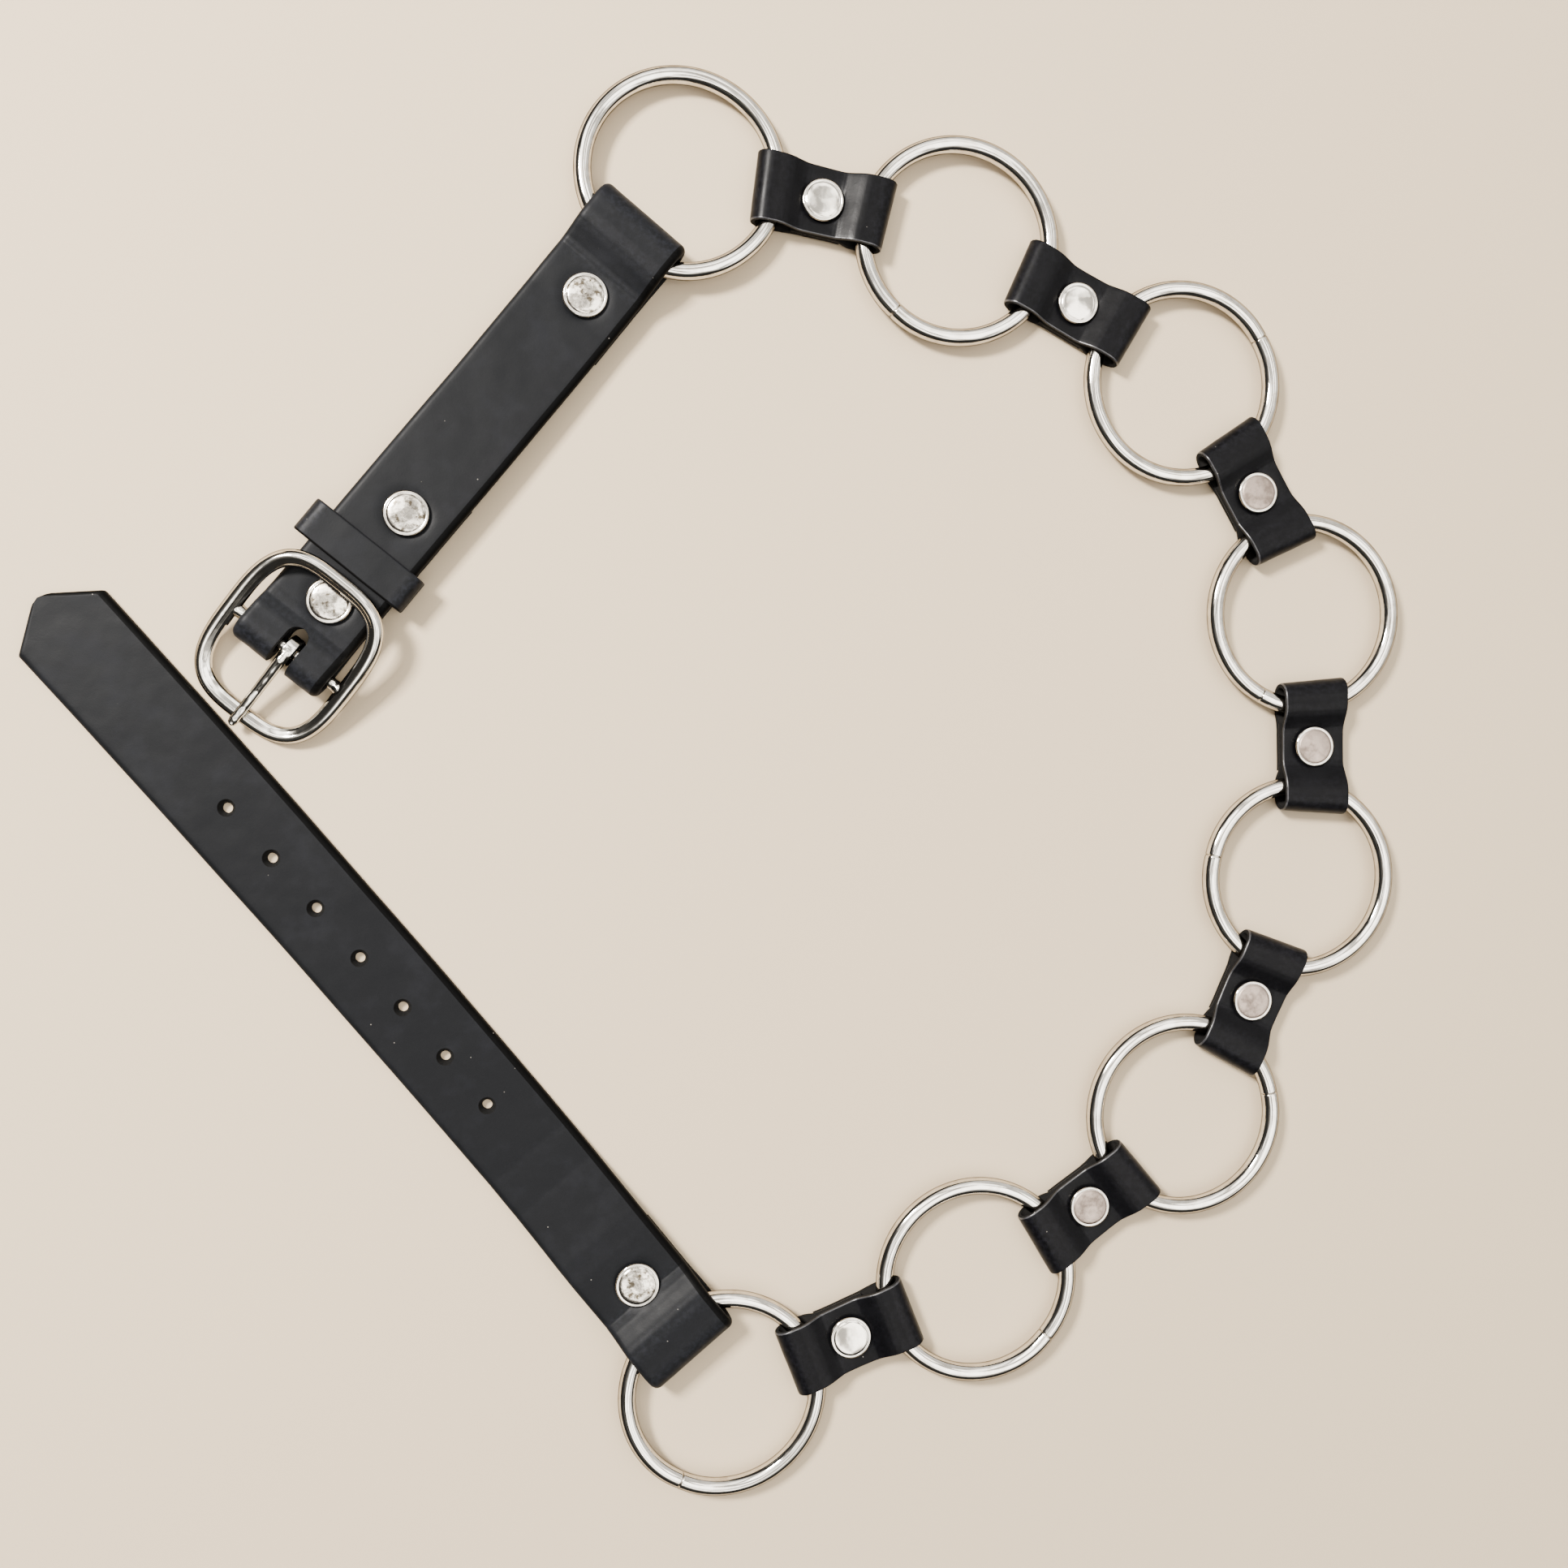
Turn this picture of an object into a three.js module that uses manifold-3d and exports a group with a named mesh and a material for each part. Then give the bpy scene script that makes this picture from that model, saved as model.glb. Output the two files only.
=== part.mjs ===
// Belt of eight steel rings joined by riveted leather tabs, with a leather strap
// to a centre-bar buckle at one end and a punched leather tongue at the other.
// It lies flat, curved like the letter C, with its tongue end beside its buckle.
// Units are millimetres, +Z is up and the belt rests on z = 0.
import * as THREE from "three";
import { mergeVertices } from "three/addons/utils/BufferGeometryUtils.js";
import Module from "manifold-3d";

const wasm = await Module();
wasm.setup();

// Driving dimensions
const GAP = 0.3; // air left between two pieces that touch

const RING_MEAN_R = 27.5;
const WIRE_R = 2.5;
const RING_SIDES = 28;
const WIRE_SIDES = 10;

const TONGUE_WIDTH = 28.5;
const BUCKLE_STRAP_WIDTH = 28.0;
const STRAP_THICK = 3.0;
const TAB_WIDTH = 19.8;
const TAB_THICK = 1.5;
const TAB_LENGTH = 39.6;
const TAB_STACK = 4.5; // three layers of tab leather pressed under a rivet

const STRAP_CAP_R = 6.25;
const TAB_CAP_R = 6.0;
const CAP_HEIGHT = 1.8;
const BACK_CAP_THICK = 0.9;
const POST_R = 1.9;
const RIVET_SIDES = 12;

const HOLE_COUNT = 7;
const HOLE_PITCH = 18.15;
const HOLE_R = 2.1;
const HOLE_LINE = 0.3; // the holes run a little off the tongue's middle
const FIRST_HOLE = 65.9; // along the tongue from its rivet
const TONGUE_END = 249.0; // tip of the tongue from its rivet
const TIP_START = 240.2; // where the tongue's long edges stop

// The buckle strap, measured from under its first rivet; its hand-set parts aren't quite in line
const STRAP_MIDDLE = -1.2;
const FIRST_RIVET = { along: 0.6, across: -1.9 };
const SECOND_RIVET = { along: 32.1, across: -2.7 };
const THIRD_RIVET = { along: 110.2, across: -1.9 };
const BAR_AT = -16.5;
const FOLD_AT = -17.3; // middle of the loose fold round the bar
const FOLD_R = 5.4;
const TURN_BACK = 12.0; // length of a turned-back end past its rivet
const BAR_R = 1.75;
const BAR_Z = 5.6;
const SLOT_WIDTH = 6.2;
const SLOT_LINE = -1.8;
const SLOT_END = -9.5;

const KEEPER_FROM = 10.0;
const KEEPER_WIDTH = 10.5;
const KEEPER_THICK = 2.1;
const KEEPER_SPAN = 35.8;
const KEEPER_CORNER_R = 3.0;

const FRAME_LENGTH = 50.5;
const FRAME_BREADTH = 42.4;
const FRAME_BAND = 4.9; // width of the buckle's rim seen from above
const FRAME_HALF_THICK = 1.7;
const FRAME_OVER_BAR = 1.6; // the rim's middle plane above the bar
const FRAME_PAST_BAR = 0.75; // the rim's middle lies this far from the bar, towards the keeper
const FRAME_TILT = THREE.MathUtils.degToRad(13.5);
const FRAME_LINE = -1.4;
const FRAME_STEPS = 32;

const PRONG_LOOP_R = 4.35;
const PRONG_LOOP_WIDTH = 3.4;
const PRONG_LINE = -2.0;

// Where the belt lies: ring centres in order from the buckle strap to the tongue
const RING_PLACES = [
  { x: -29.1, y: 171.0 },
  { x: 50.3, y: 155.9 },
  { x: 118.4, y: 117.5 },
  { x: 156.7, y: 50.1 },
  { x: 155.8, y: -28.4 },
  { x: 120.3, y: -98.8 },
  { x: 57.0, y: -145.3 },
  { x: -17.7, y: -174.4 },
];
// Each tab's place from the middle between its two rings, along their line and out from it,
// its turn in degrees, and how much longer its outer edge is than its middle
const TAB_PLACES = [
  { along: 0, out: 1.6, turn: 0, splay: 0.03 },
  { along: 0.1, out: 2.8, turn: 2, splay: 0.03 },
  { along: 0.2, out: 4.2, turn: 0, splay: 0.04 },
  { along: 0.1, out: 3.5, turn: 1.5, splay: 0.04 },
  { along: 0.1, out: 3.2, turn: 2, splay: 0.04 },
  { along: 0, out: 3.4, turn: -1, splay: 0.04 },
  { along: 0.4, out: -0.2, turn: 0, splay: 0 },
];
const BUCKLE_STRAP_PLACE = { x: -126.7, y: 50.8, heading: 51.0 };
const TONGUE_PLACE = { x: -42.2, y: -141.0, heading: 129.4 };

// Heights worked out from the leather and the wire
const WIRE_ROOM = 2 * (WIRE_R + GAP); // height of a fold's inside round a wire
const TAB_WIRE_Z = TAB_THICK + GAP + WIRE_R;
const STRAP_WIRE_Z = STRAP_THICK + GAP + WIRE_R;
const FLAT_STACK_Z = BACK_CAP_THICK + GAP; // leather's underside over a back cap
const KEEPER_STACK_Z = KEEPER_THICK + GAP; // leather's underside over the keeper
const FIRST_STACK_Z = KEEPER_STACK_Z - GAP; // at the rivet beside the buckle
const STACK = 2 * STRAP_THICK;

// Materials
const leather = (hex) =>
  new THREE.MeshStandardMaterial({ color: hex, roughness: 0.6, metalness: 0 });
const metal = (hex, roughness) =>
  new THREE.MeshStandardMaterial({ color: hex, roughness, metalness: 1 });
const STRAP_LEATHER = 0x2b2b2d;
const TAB_LEATHER = 0x1f1f21;
const NICKEL = 0xd8d5cd;

// Solids
function toGeometry(positions, faces) {
  const geometry = new THREE.BufferGeometry();
  geometry.setAttribute("position", new THREE.Float32BufferAttribute(positions, 3));
  geometry.setIndex(faces);
  return geometry;
}

function signedVolume(geometry) {
  const position = geometry.attributes.position;
  const corners = [new THREE.Vector3(), new THREE.Vector3(), new THREE.Vector3()];
  let volume = 0;
  for (let i = 0; i < geometry.index.count; i += 3) {
    corners.forEach((corner, k) => corner.fromBufferAttribute(position, geometry.index.getX(i + k)));
    volume += corners[0].dot(corners[1].clone().cross(corners[2])) / 6;
  }
  return volume;
}

// Merges shared vertices and turns the faces outwards
function closed(geometry) {
  const bare = geometry.clone();
  bare.deleteAttribute("normal");
  bare.deleteAttribute("uv");
  const merged = mergeVertices(bare, 1e-4);
  if (signedVolume(merged) < 0) merged.setIndex([...merged.index.array].reverse());
  return merged;
}

function solidOf(geometry) {
  const shape = closed(geometry);
  const mesh = new wasm.Mesh({
    numProp: 3,
    vertProperties: new Float32Array(shape.attributes.position.array),
    triVerts: new Uint32Array(shape.index.array),
  });
  return new wasm.Manifold(mesh);
}

function geometryOf(solid) {
  const mesh = solid.getMesh();
  return toGeometry(Array.from(mesh.vertProperties), Array.from(mesh.triVerts));
}

// Joins rings of points, each a list of [x, y, z], into a skin; capped unless it is a loop
function loft(sections, loop = false) {
  const count = sections[0].length;
  const faces = [];
  const rows = loop ? sections.length : sections.length - 1;
  for (let i = 0; i < rows; i += 1) {
    const here = i * count;
    const next = ((i + 1) % sections.length) * count;
    for (let k = 0; k < count; k += 1) {
      const m = (k + 1) % count;
      faces.push(here + k, here + m, next + m, here + k, next + m, next + k);
    }
  }
  if (!loop) {
    const last = (sections.length - 1) * count;
    for (let k = 1; k < count - 1; k += 1) {
      faces.push(0, k + 1, k, last, last + k, last + k + 1);
    }
  }
  return toGeometry(sections.flat(2), faces);
}

// Points along an arc in a profile, from one angle in degrees to another
function arc(x, y, r, from, to, steps) {
  return Array.from({ length: steps + 1 }, (_, i) => {
    const angle = THREE.MathUtils.degToRad(from + ((to - from) * i) / steps);
    return [x + r * Math.cos(angle), y + r * Math.sin(angle)];
  });
}

function shapeOf(outline, holes = []) {
  const shape = new THREE.Shape(outline.map(([x, y]) => new THREE.Vector2(x, y)));
  shape.holes = holes.map((hole) => new THREE.Path(hole.map(([x, y]) => new THREE.Vector2(x, y))));
  return shape;
}

const extruded = (shape, depth) => new THREE.ExtrudeGeometry(shape, { depth, bevelEnabled: false });

// Extrudes a side view, drawn as length and height, across a strap's width
function acrossWidth(outline, holes, width) {
  return extruded(shapeOf(outline, holes), width).rotateX(Math.PI / 2).translate(0, width / 2, 0);
}

function upright(x, y, radius, sides) {
  const height = 40;
  return new THREE.CylinderGeometry(radius, radius, height, sides).rotateX(Math.PI / 2).translate(x, y, 0);
}

const mirrored = (points) => points.map(([x, z]) => [-x, z]).reverse();

// Side views of leather folded round a ring's wire, measured from the rivet towards the ring
function ringFoldOutside(wireAt, foldAt) {
  const r = WIRE_ROOM / 2 + STRAP_THICK;
  return [
    [wireAt - 5.8, FLAT_STACK_Z],
    [wireAt - 2.0, 0],
    [foldAt - r, 0],
    ...arc(foldAt - r, STRAP_WIRE_Z, r, -70, 70, 7),
    [foldAt - r, STRAP_WIRE_Z + r],
    [wireAt - 0.9, STRAP_WIRE_Z + r],
    [wireAt - 3.3, STRAP_WIRE_Z + r - 0.85],
    [wireAt - 7.1, FLAT_STACK_Z + STACK],
  ];
}

function ringFoldInside(wireAt, foldAt) {
  const r = WIRE_ROOM / 2;
  const end = foldAt - STRAP_THICK - r;
  return [
    [wireAt - 5.2, 3.9],
    [wireAt - 2.3, STRAP_THICK],
    ...arc(end, STRAP_WIRE_Z, r, -90, 90, 7),
    [wireAt - 1.2, STRAP_WIRE_Z + r],
    [wireAt - 5.2, 4.8],
  ];
}

function ring() {
  return new THREE.TorusGeometry(RING_MEAN_R, WIRE_R, WIRE_SIDES, RING_SIDES);
}

// A two-cap rivet, base of its back cap at z = 0, gripping leather of the given thickness
function rivet(capR, grip) {
  const back = BACK_CAP_THICK;
  const front = back + grip + 2 * GAP;
  const backR = capR - 0.5;
  const profile = [
    [0, 0],
    [backR - 0.4, 0],
    [backR, 0.35],
    [backR - 0.15, back],
    [POST_R, back],
    [POST_R, front],
    [capR - 0.3, front],
    [capR, front + 0.35],
    [capR - 0.35, front + 0.85],
    [capR - 1.5, front + 0.72 * CAP_HEIGHT],
    [capR * 0.4, front + 0.96 * CAP_HEIGHT],
    [0, front + CAP_HEIGHT],
  ];
  const points = profile.map(([r, z]) => new THREE.Vector2(r, z));
  return new THREE.LatheGeometry(points, RIVET_SIDES).rotateX(Math.PI / 2);
}

// A strip wrapped round two rings, its ends overlapped on the back under the rivet
function tab(splay) {
  const half = TAB_LENGTH / 2;
  const room = WIRE_ROOM / 2;
  const r = room + TAB_THICK;
  const top = FLAT_STACK_Z + TAB_STACK;
  const right = [
    [7.0, FLAT_STACK_Z],
    [10.4, 0],
    ...arc(half - r, TAB_WIRE_Z, r, -90, 90, 8),
    [10.6, TAB_WIRE_Z + r],
    [9.3, TAB_WIRE_Z + r - 0.7],
    [6.5, top],
  ];
  const inside = [
    [8.3, 2.5],
    [10.2, TAB_THICK],
    ...arc(half - r, TAB_WIRE_Z, room, -90, 90, 6),
    [9.9, TAB_WIRE_Z + room],
    [8.3, TAB_WIRE_Z + 1.2],
  ];
  const middle = [[0, top]];
  const outline = [...right, ...middle, ...mirrored(right), [0, FLAT_STACK_Z]];
  const strip = acrossWidth(outline, [inside, mirrored(inside)], TAB_WIDTH);
  const position = strip.attributes.position;
  for (let i = 0; i < position.count; i += 1) {
    const out = position.getY(i) / (TAB_WIDTH / 2);
    position.setX(i, position.getX(i) * (1 + splay * out));
  }
  const hole = solidOf(upright(0, 0, POST_R + GAP, 8));
  return geometryOf(solidOf(strip).subtract(hole));
}

// The tongue: folded round the last ring, riveted, then flat on the ground to its tip
const TONGUE_WIRE = 13.8;
const TONGUE_FOLD = 27.3;

function tongueBow(along) {
  return -0.7 + 1.9 * ((along - 100) / 140) ** 2;
}

function tongueStrap() {
  const top = FLAT_STACK_Z + STACK;
  const outline = [
    ...mirrored(ringFoldOutside(TONGUE_WIRE, TONGUE_FOLD)),
    [8, FLAT_STACK_Z],
    [TURN_BACK, FLAT_STACK_Z - 0.1],
    [TURN_BACK + 0.1, FLAT_STACK_Z + STRAP_THICK - 0.2],
    [22, 2.6],
    [33, 0.9],
    [47, 0],
    [TONGUE_END + 1, 0],
    [TONGUE_END + 1, STRAP_THICK],
    [50, STRAP_THICK],
    [36, STRAP_THICK + 0.9],
    [24, STRAP_THICK + 2.6],
    [14, top - 0.4],
    [7, top],
  ];
  const holes = [mirrored(ringFoldInside(TONGUE_WIRE, TONGUE_FOLD))];
  const edge = TONGUE_WIDTH / 2;
  const plan = shapeOf([
    [-TONGUE_FOLD - 1, -edge],
    [TIP_START, -edge],
    [TONGUE_END - 2.6, -6.3],
    ...arc(TONGUE_END - 6.5, 0, 6.5, -40, 40, 4),
    [TONGUE_END - 2.6, 6.3],
    [TIP_START, edge],
    [-TONGUE_FOLD - 1, edge],
  ]);
  let strap = solidOf(acrossWidth(outline, holes, TONGUE_WIDTH + 2));
  strap = strap.intersect(solidOf(extruded(plan, 30).translate(0, 0, -5)));
  for (let i = 0; i < HOLE_COUNT; i += 1) {
    strap = strap.subtract(solidOf(upright(FIRST_HOLE + i * HOLE_PITCH, HOLE_LINE, HOLE_R, 10)));
  }
  strap = strap.subtract(solidOf(upright(0, -tongueBow(0), POST_R + GAP, 8)));
  const geometry = geometryOf(strap);
  const position = geometry.attributes.position;
  for (let i = 0; i < position.count; i += 1) {
    position.setY(i, position.getY(i) + tongueBow(position.getX(i)));
  }
  return geometry;
}

// The buckle strap: folded round the buckle's bar, through the keeper, and round the first ring
const BUCKLE_RING_WIRE = 17.2;
const BUCKLE_RING_FOLD = 28.8;

function buckleStrap() {
  const inner = FOLD_R - STRAP_THICK;
  const fromRing = (points) => points.map(([q, z]) => [THIRD_RIVET.along + q, z]);
  const back = SECOND_RIVET.along + TURN_BACK;
  const ringBack = THIRD_RIVET.along - TURN_BACK;
  const outline = [
    [FOLD_AT + 4.8, BAR_Z - FOLD_R + 0.5],
    [-6.5, FIRST_STACK_Z],
    [6.5, FIRST_STACK_Z],
    [KEEPER_FROM, KEEPER_STACK_Z],
    [back, KEEPER_STACK_Z],
    [back + 0.1, KEEPER_STACK_Z + STRAP_THICK - 0.1],
    [ringBack - 0.1, FLAT_STACK_Z + STRAP_THICK - 0.1],
    [ringBack, FLAT_STACK_Z],
    ...fromRing(ringFoldOutside(BUCKLE_RING_WIRE, BUCKLE_RING_FOLD)),
    [THIRD_RIVET.along - 7, FLAT_STACK_Z + STACK],
    [back, KEEPER_STACK_Z + STACK],
    [KEEPER_FROM, KEEPER_STACK_Z + STACK],
    [6.5, FIRST_STACK_Z + STACK],
    [-6.5, FIRST_STACK_Z + STACK],
    ...arc(FOLD_AT, BAR_Z, FOLD_R, 65, 270, 10),
  ];
  const barRoom = [
    ...arc(FOLD_AT, BAR_Z, inner, 70, 290, 10),
    [-10, BAR_Z - 0.5],
    [-10, BAR_Z],
  ];
  const holes = [barRoom, fromRing(ringFoldInside(BUCKLE_RING_WIRE, BUCKLE_RING_FOLD))];
  let strap = solidOf(acrossWidth(outline, holes, BUCKLE_STRAP_WIDTH).translate(0, STRAP_MIDDLE, 0));
  for (const { along, across } of [FIRST_RIVET, SECOND_RIVET, THIRD_RIVET]) {
    strap = strap.subtract(solidOf(upright(along, across, POST_R + GAP, 8)));
  }
  const slotR = SLOT_WIDTH / 2;
  const slot = shapeOf([
    [FOLD_AT - 10, SLOT_LINE - slotR],
    ...arc(SLOT_END - slotR, SLOT_LINE, slotR, -90, 90, 6),
    [FOLD_AT - 10, SLOT_LINE + slotR],
  ]);
  return geometryOf(strap.subtract(solidOf(extruded(slot, 30).translate(0, 0, -5))));
}

// A leather band round the doubled strap
function keeper() {
  const band = (halfSpan, low, high, r, steps) => [
    ...arc(halfSpan - r, low + r, r, -90, 0, steps),
    ...arc(halfSpan - r, high - r, r, 0, 90, steps),
    ...arc(r - halfSpan, high - r, r, 90, 180, steps),
    ...arc(r - halfSpan, low + r, r, 180, 270, steps),
  ];
  const low = KEEPER_THICK;
  const high = KEEPER_STACK_Z + STACK + GAP;
  const r = KEEPER_CORNER_R;
  const half = KEEPER_SPAN / 2;
  const outside = band(half, 0, high + KEEPER_THICK, r, 4);
  const inside = band(half - KEEPER_THICK, low, high, r - KEEPER_THICK, 3);
  const turn = new THREE.Matrix4().makeBasis(
    new THREE.Vector3(0, 1, 0),
    new THREE.Vector3(0, 0, 1),
    new THREE.Vector3(1, 0, 0),
  );
  return extruded(shapeOf(outside, [inside]), KEEPER_WIDTH).applyMatrix4(turn).translate(KEEPER_FROM, 0, 0);
}

// A round rod through stations of length, height and radius, in the prong's plane
const PRONG_STATIONS = [
  { along: -16.0, z: 8.5, r: 1.3 },
  { along: -20.0, z: 8.7, r: 1.6 },
  { along: -24.4, z: 7.5, r: 1.5 },
  { along: -30.4, z: 5.9, r: 1.45 },
  { along: -36.3, z: 4.95, r: 1.45 },
  { along: -41.5, z: 4.65, r: 1.4 },
  { along: -42.3, z: 4.6, r: 0.8 },
];

function prongRod(extra) {
  const sides = 8;
  const sections = PRONG_STATIONS.map((station, i) => {
    const before = PRONG_STATIONS[Math.max(0, i - 1)];
    const after = PRONG_STATIONS[Math.min(PRONG_STATIONS.length - 1, i + 1)];
    const lean = Math.atan2(after.z - before.z, after.along - before.along) + Math.PI / 2;
    return Array.from({ length: sides }, (_, k) => {
      const angle = ((k + 0.5) / sides) * 2 * Math.PI;
      const up = (station.r + extra) * Math.sin(angle);
      const across = (station.r + extra) * Math.cos(angle);
      return [station.along + up * Math.cos(lean), PRONG_LINE + across, station.z + up * Math.sin(lean)];
    });
  });
  return solidOf(loft(sections));
}

function prong() {
  const eye = shapeOf(
    arc(BAR_AT, BAR_Z, PRONG_LOOP_R, 0, 337.5, 15),
    [arc(BAR_AT, BAR_Z, BAR_R + GAP, 0, 330, 11)],
  );
  const loop = extruded(eye, PRONG_LOOP_WIDTH)
    .rotateX(Math.PI / 2)
    .translate(0, PRONG_LINE + PRONG_LOOP_WIDTH / 2, 0);
  return geometryOf(solidOf(loop).add(prongRod(0)));
}

// A flattened oval: the higher the power, the squarer its corners
function oval(halfLength, halfBreadth, power, angle) {
  const bend = (value) => Math.sign(value) * Math.abs(value) ** (2 / power);
  return [halfLength * bend(Math.cos(angle)), halfBreadth * bend(Math.sin(angle))];
}

function buckleFrame() {
  const t = FRAME_HALF_THICK;
  // across: 0 at the outer edge and 1 at the window's edge
  const section = [
    { across: 0, z: -0.5 * t },
    { across: 0, z: 0.35 * t },
    { across: 0.18, z: 0.9 * t },
    { across: 0.5, z: t },
    { across: 1, z: 0.1 * t },
    { across: 1, z: -0.6 * t },
    { across: 0.82, z: -t },
    { across: 0.2, z: -t },
  ];
  const sections = Array.from({ length: FRAME_STEPS }, (_, i) => {
    const angle = (i / FRAME_STEPS) * 2 * Math.PI;
    const [ox, oy] = oval(FRAME_LENGTH / 2, FRAME_BREADTH / 2, 3.1, angle);
    const [ix, iy] = oval(FRAME_LENGTH / 2 - FRAME_BAND, FRAME_BREADTH / 2 - FRAME_BAND, 3.7, angle);
    return section.map(({ across, z }) => [
      FRAME_PAST_BAR + ox + (ix - ox) * across,
      oy + (iy - oy) * across,
      FRAME_OVER_BAR + z,
    ]);
  });
  const barLength = FRAME_BREADTH - FRAME_BAND;
  const bar = new THREE.CylinderGeometry(BAR_R, BAR_R, barLength, 10);
  const rim = solidOf(loft(sections, true)).add(solidOf(bar));
  const placed = geometryOf(rim).rotateY(-FRAME_TILT).translate(BAR_AT, FRAME_LINE, BAR_Z);
  return geometryOf(solidOf(placed).subtract(prongRod(GAP)));
}

// The assembly
const belt = new THREE.Group();

function add(parent, name, geometry, material, x = 0, y = 0, z = 0) {
  const mesh = new THREE.Mesh(closed(geometry), material);
  mesh.name = name;
  mesh.position.set(x, y, z);
  parent.add(mesh);
  return mesh;
}

const headingBetween = (from, to) => Math.atan2(to.y - from.y, to.x - from.x);

// An end ring rises from its tab, which is thin, to its strap, which is thick
function addEndRing(index, strapHeading, neighbour) {
  const place = RING_PLACES[index];
  const apart = strapHeading - headingBetween(place, neighbour);
  const rise = (STRAP_WIRE_Z - TAB_WIRE_Z) / (1 - Math.cos(apart));
  const mesh = add(belt, `ring_${index + 1}`, ring(), metal(NICKEL, 0.18));
  mesh.position.set(place.x, place.y, STRAP_WIRE_Z - rise);
  const axis = new THREE.Vector3(-Math.sin(strapHeading), Math.cos(strapHeading), 0);
  mesh.quaternion.setFromAxisAngle(axis, -Math.atan(rise / RING_MEAN_R));
}

const radians = THREE.MathUtils.degToRad;
const lastRing = RING_PLACES.length - 1;
addEndRing(0, radians(BUCKLE_STRAP_PLACE.heading + 180), RING_PLACES[1]);
addEndRing(lastRing, radians(TONGUE_PLACE.heading), RING_PLACES[lastRing - 1]);
RING_PLACES.slice(1, lastRing).forEach((place, i) => {
  add(belt, `ring_${i + 2}`, ring(), metal(NICKEL, 0.18), place.x, place.y, TAB_WIRE_Z);
});

RING_PLACES.slice(0, lastRing).forEach((place, i) => {
  const next = RING_PLACES[i + 1];
  const { along, out, turn, splay } = TAB_PLACES[i];
  const chord = headingBetween(place, next);
  const link = new THREE.Group();
  link.position.set(
    (place.x + next.x) / 2 + along * Math.cos(chord) - out * Math.sin(chord),
    (place.y + next.y) / 2 + along * Math.sin(chord) + out * Math.cos(chord),
    0,
  );
  link.rotation.z = chord + radians(turn);
  belt.add(link);
  add(link, `tab_${i + 1}`, tab(splay), leather(TAB_LEATHER));
  add(link, `tab_rivet_${i + 1}`, rivet(TAB_CAP_R, TAB_STACK), metal(NICKEL, 0.2));
});

function strapGroup(place) {
  const group = new THREE.Group();
  group.position.set(place.x, place.y, 0);
  group.rotation.z = radians(place.heading);
  belt.add(group);
  return group;
}

const buckleEnd = strapGroup(BUCKLE_STRAP_PLACE);
add(buckleEnd, "buckle_strap", buckleStrap(), leather(STRAP_LEATHER));
add(buckleEnd, "keeper", keeper(), leather(STRAP_LEATHER));
add(buckleEnd, "buckle_frame", buckleFrame(), metal(NICKEL, 0.15));
add(buckleEnd, "prong", prong(), metal(NICKEL, 0.2));
[
  { ...FIRST_RIVET, leatherZ: FIRST_STACK_Z },
  { ...SECOND_RIVET, leatherZ: KEEPER_STACK_Z },
  { ...THIRD_RIVET, leatherZ: FLAT_STACK_Z },
].forEach(({ along, across, leatherZ }, i) => {
  const base = leatherZ - FLAT_STACK_Z;
  const name = `buckle_strap_rivet_${i + 1}`;
  add(buckleEnd, name, rivet(STRAP_CAP_R, STACK), metal(NICKEL, 0.2), along, across, base);
});

const tongueEnd = strapGroup(TONGUE_PLACE);
add(tongueEnd, "tongue_strap", tongueStrap(), leather(STRAP_LEATHER));
add(tongueEnd, "tongue_rivet", rivet(STRAP_CAP_R, STACK), metal(NICKEL, 0.2));

// The origin is the middle of the belt's box, on the surface that it rests on
belt.updateMatrixWorld(true);
const box = new THREE.Box3().setFromObject(belt, true);
belt.position.set(-(box.min.x + box.max.x) / 2, -(box.min.y + box.max.y) / 2, -box.min.z);

const part = new THREE.Group();
part.add(belt);
export default part;
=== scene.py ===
"""The looks of a leather ring belt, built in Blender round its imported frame.

Eight nickel-plated rings are joined by riveted leather tabs. A short strap carries the buckle, and a
long punched tongue lies beside it. Lengths here are millimetres unless a name says otherwise; meshes
are made in metres, in the frame's own coordinates. Each leather piece is one strip swept along its
side view, so its layers, folds and cut edges are where the real strip has them.
"""

from __future__ import annotations

import logging
import math
from dataclasses import dataclass, field
from enum import Enum
from functools import partial
from typing import Callable, Sequence

import bpy
import numpy as np
from mathutils import Matrix, Vector, noise

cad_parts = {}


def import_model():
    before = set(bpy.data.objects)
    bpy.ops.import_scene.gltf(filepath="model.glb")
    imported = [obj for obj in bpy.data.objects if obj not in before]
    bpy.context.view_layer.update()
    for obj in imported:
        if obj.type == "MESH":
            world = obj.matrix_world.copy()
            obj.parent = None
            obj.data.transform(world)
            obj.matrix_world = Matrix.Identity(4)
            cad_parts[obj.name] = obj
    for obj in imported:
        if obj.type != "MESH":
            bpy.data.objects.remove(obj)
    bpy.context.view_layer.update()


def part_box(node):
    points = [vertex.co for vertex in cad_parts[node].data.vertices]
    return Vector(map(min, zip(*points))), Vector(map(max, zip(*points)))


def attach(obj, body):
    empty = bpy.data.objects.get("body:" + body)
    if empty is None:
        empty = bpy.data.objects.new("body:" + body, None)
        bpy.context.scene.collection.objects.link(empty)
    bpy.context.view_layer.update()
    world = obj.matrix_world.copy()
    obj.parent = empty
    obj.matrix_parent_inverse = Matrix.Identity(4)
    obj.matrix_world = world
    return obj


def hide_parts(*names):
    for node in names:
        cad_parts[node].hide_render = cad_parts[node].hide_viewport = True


MM = 0.001
FULL_TURN = 2 * math.pi
LOG = logging.getLogger("belt")
# A smooth curve takes this many steps between two of its points, before it is spaced evenly.
CURVE_STEPS = 12
# How bent a strip is: its turn per millimetre, averaged over so many sections, times the gain.
BEND_WINDOW = 7
BEND_GAIN = 4.0

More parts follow.
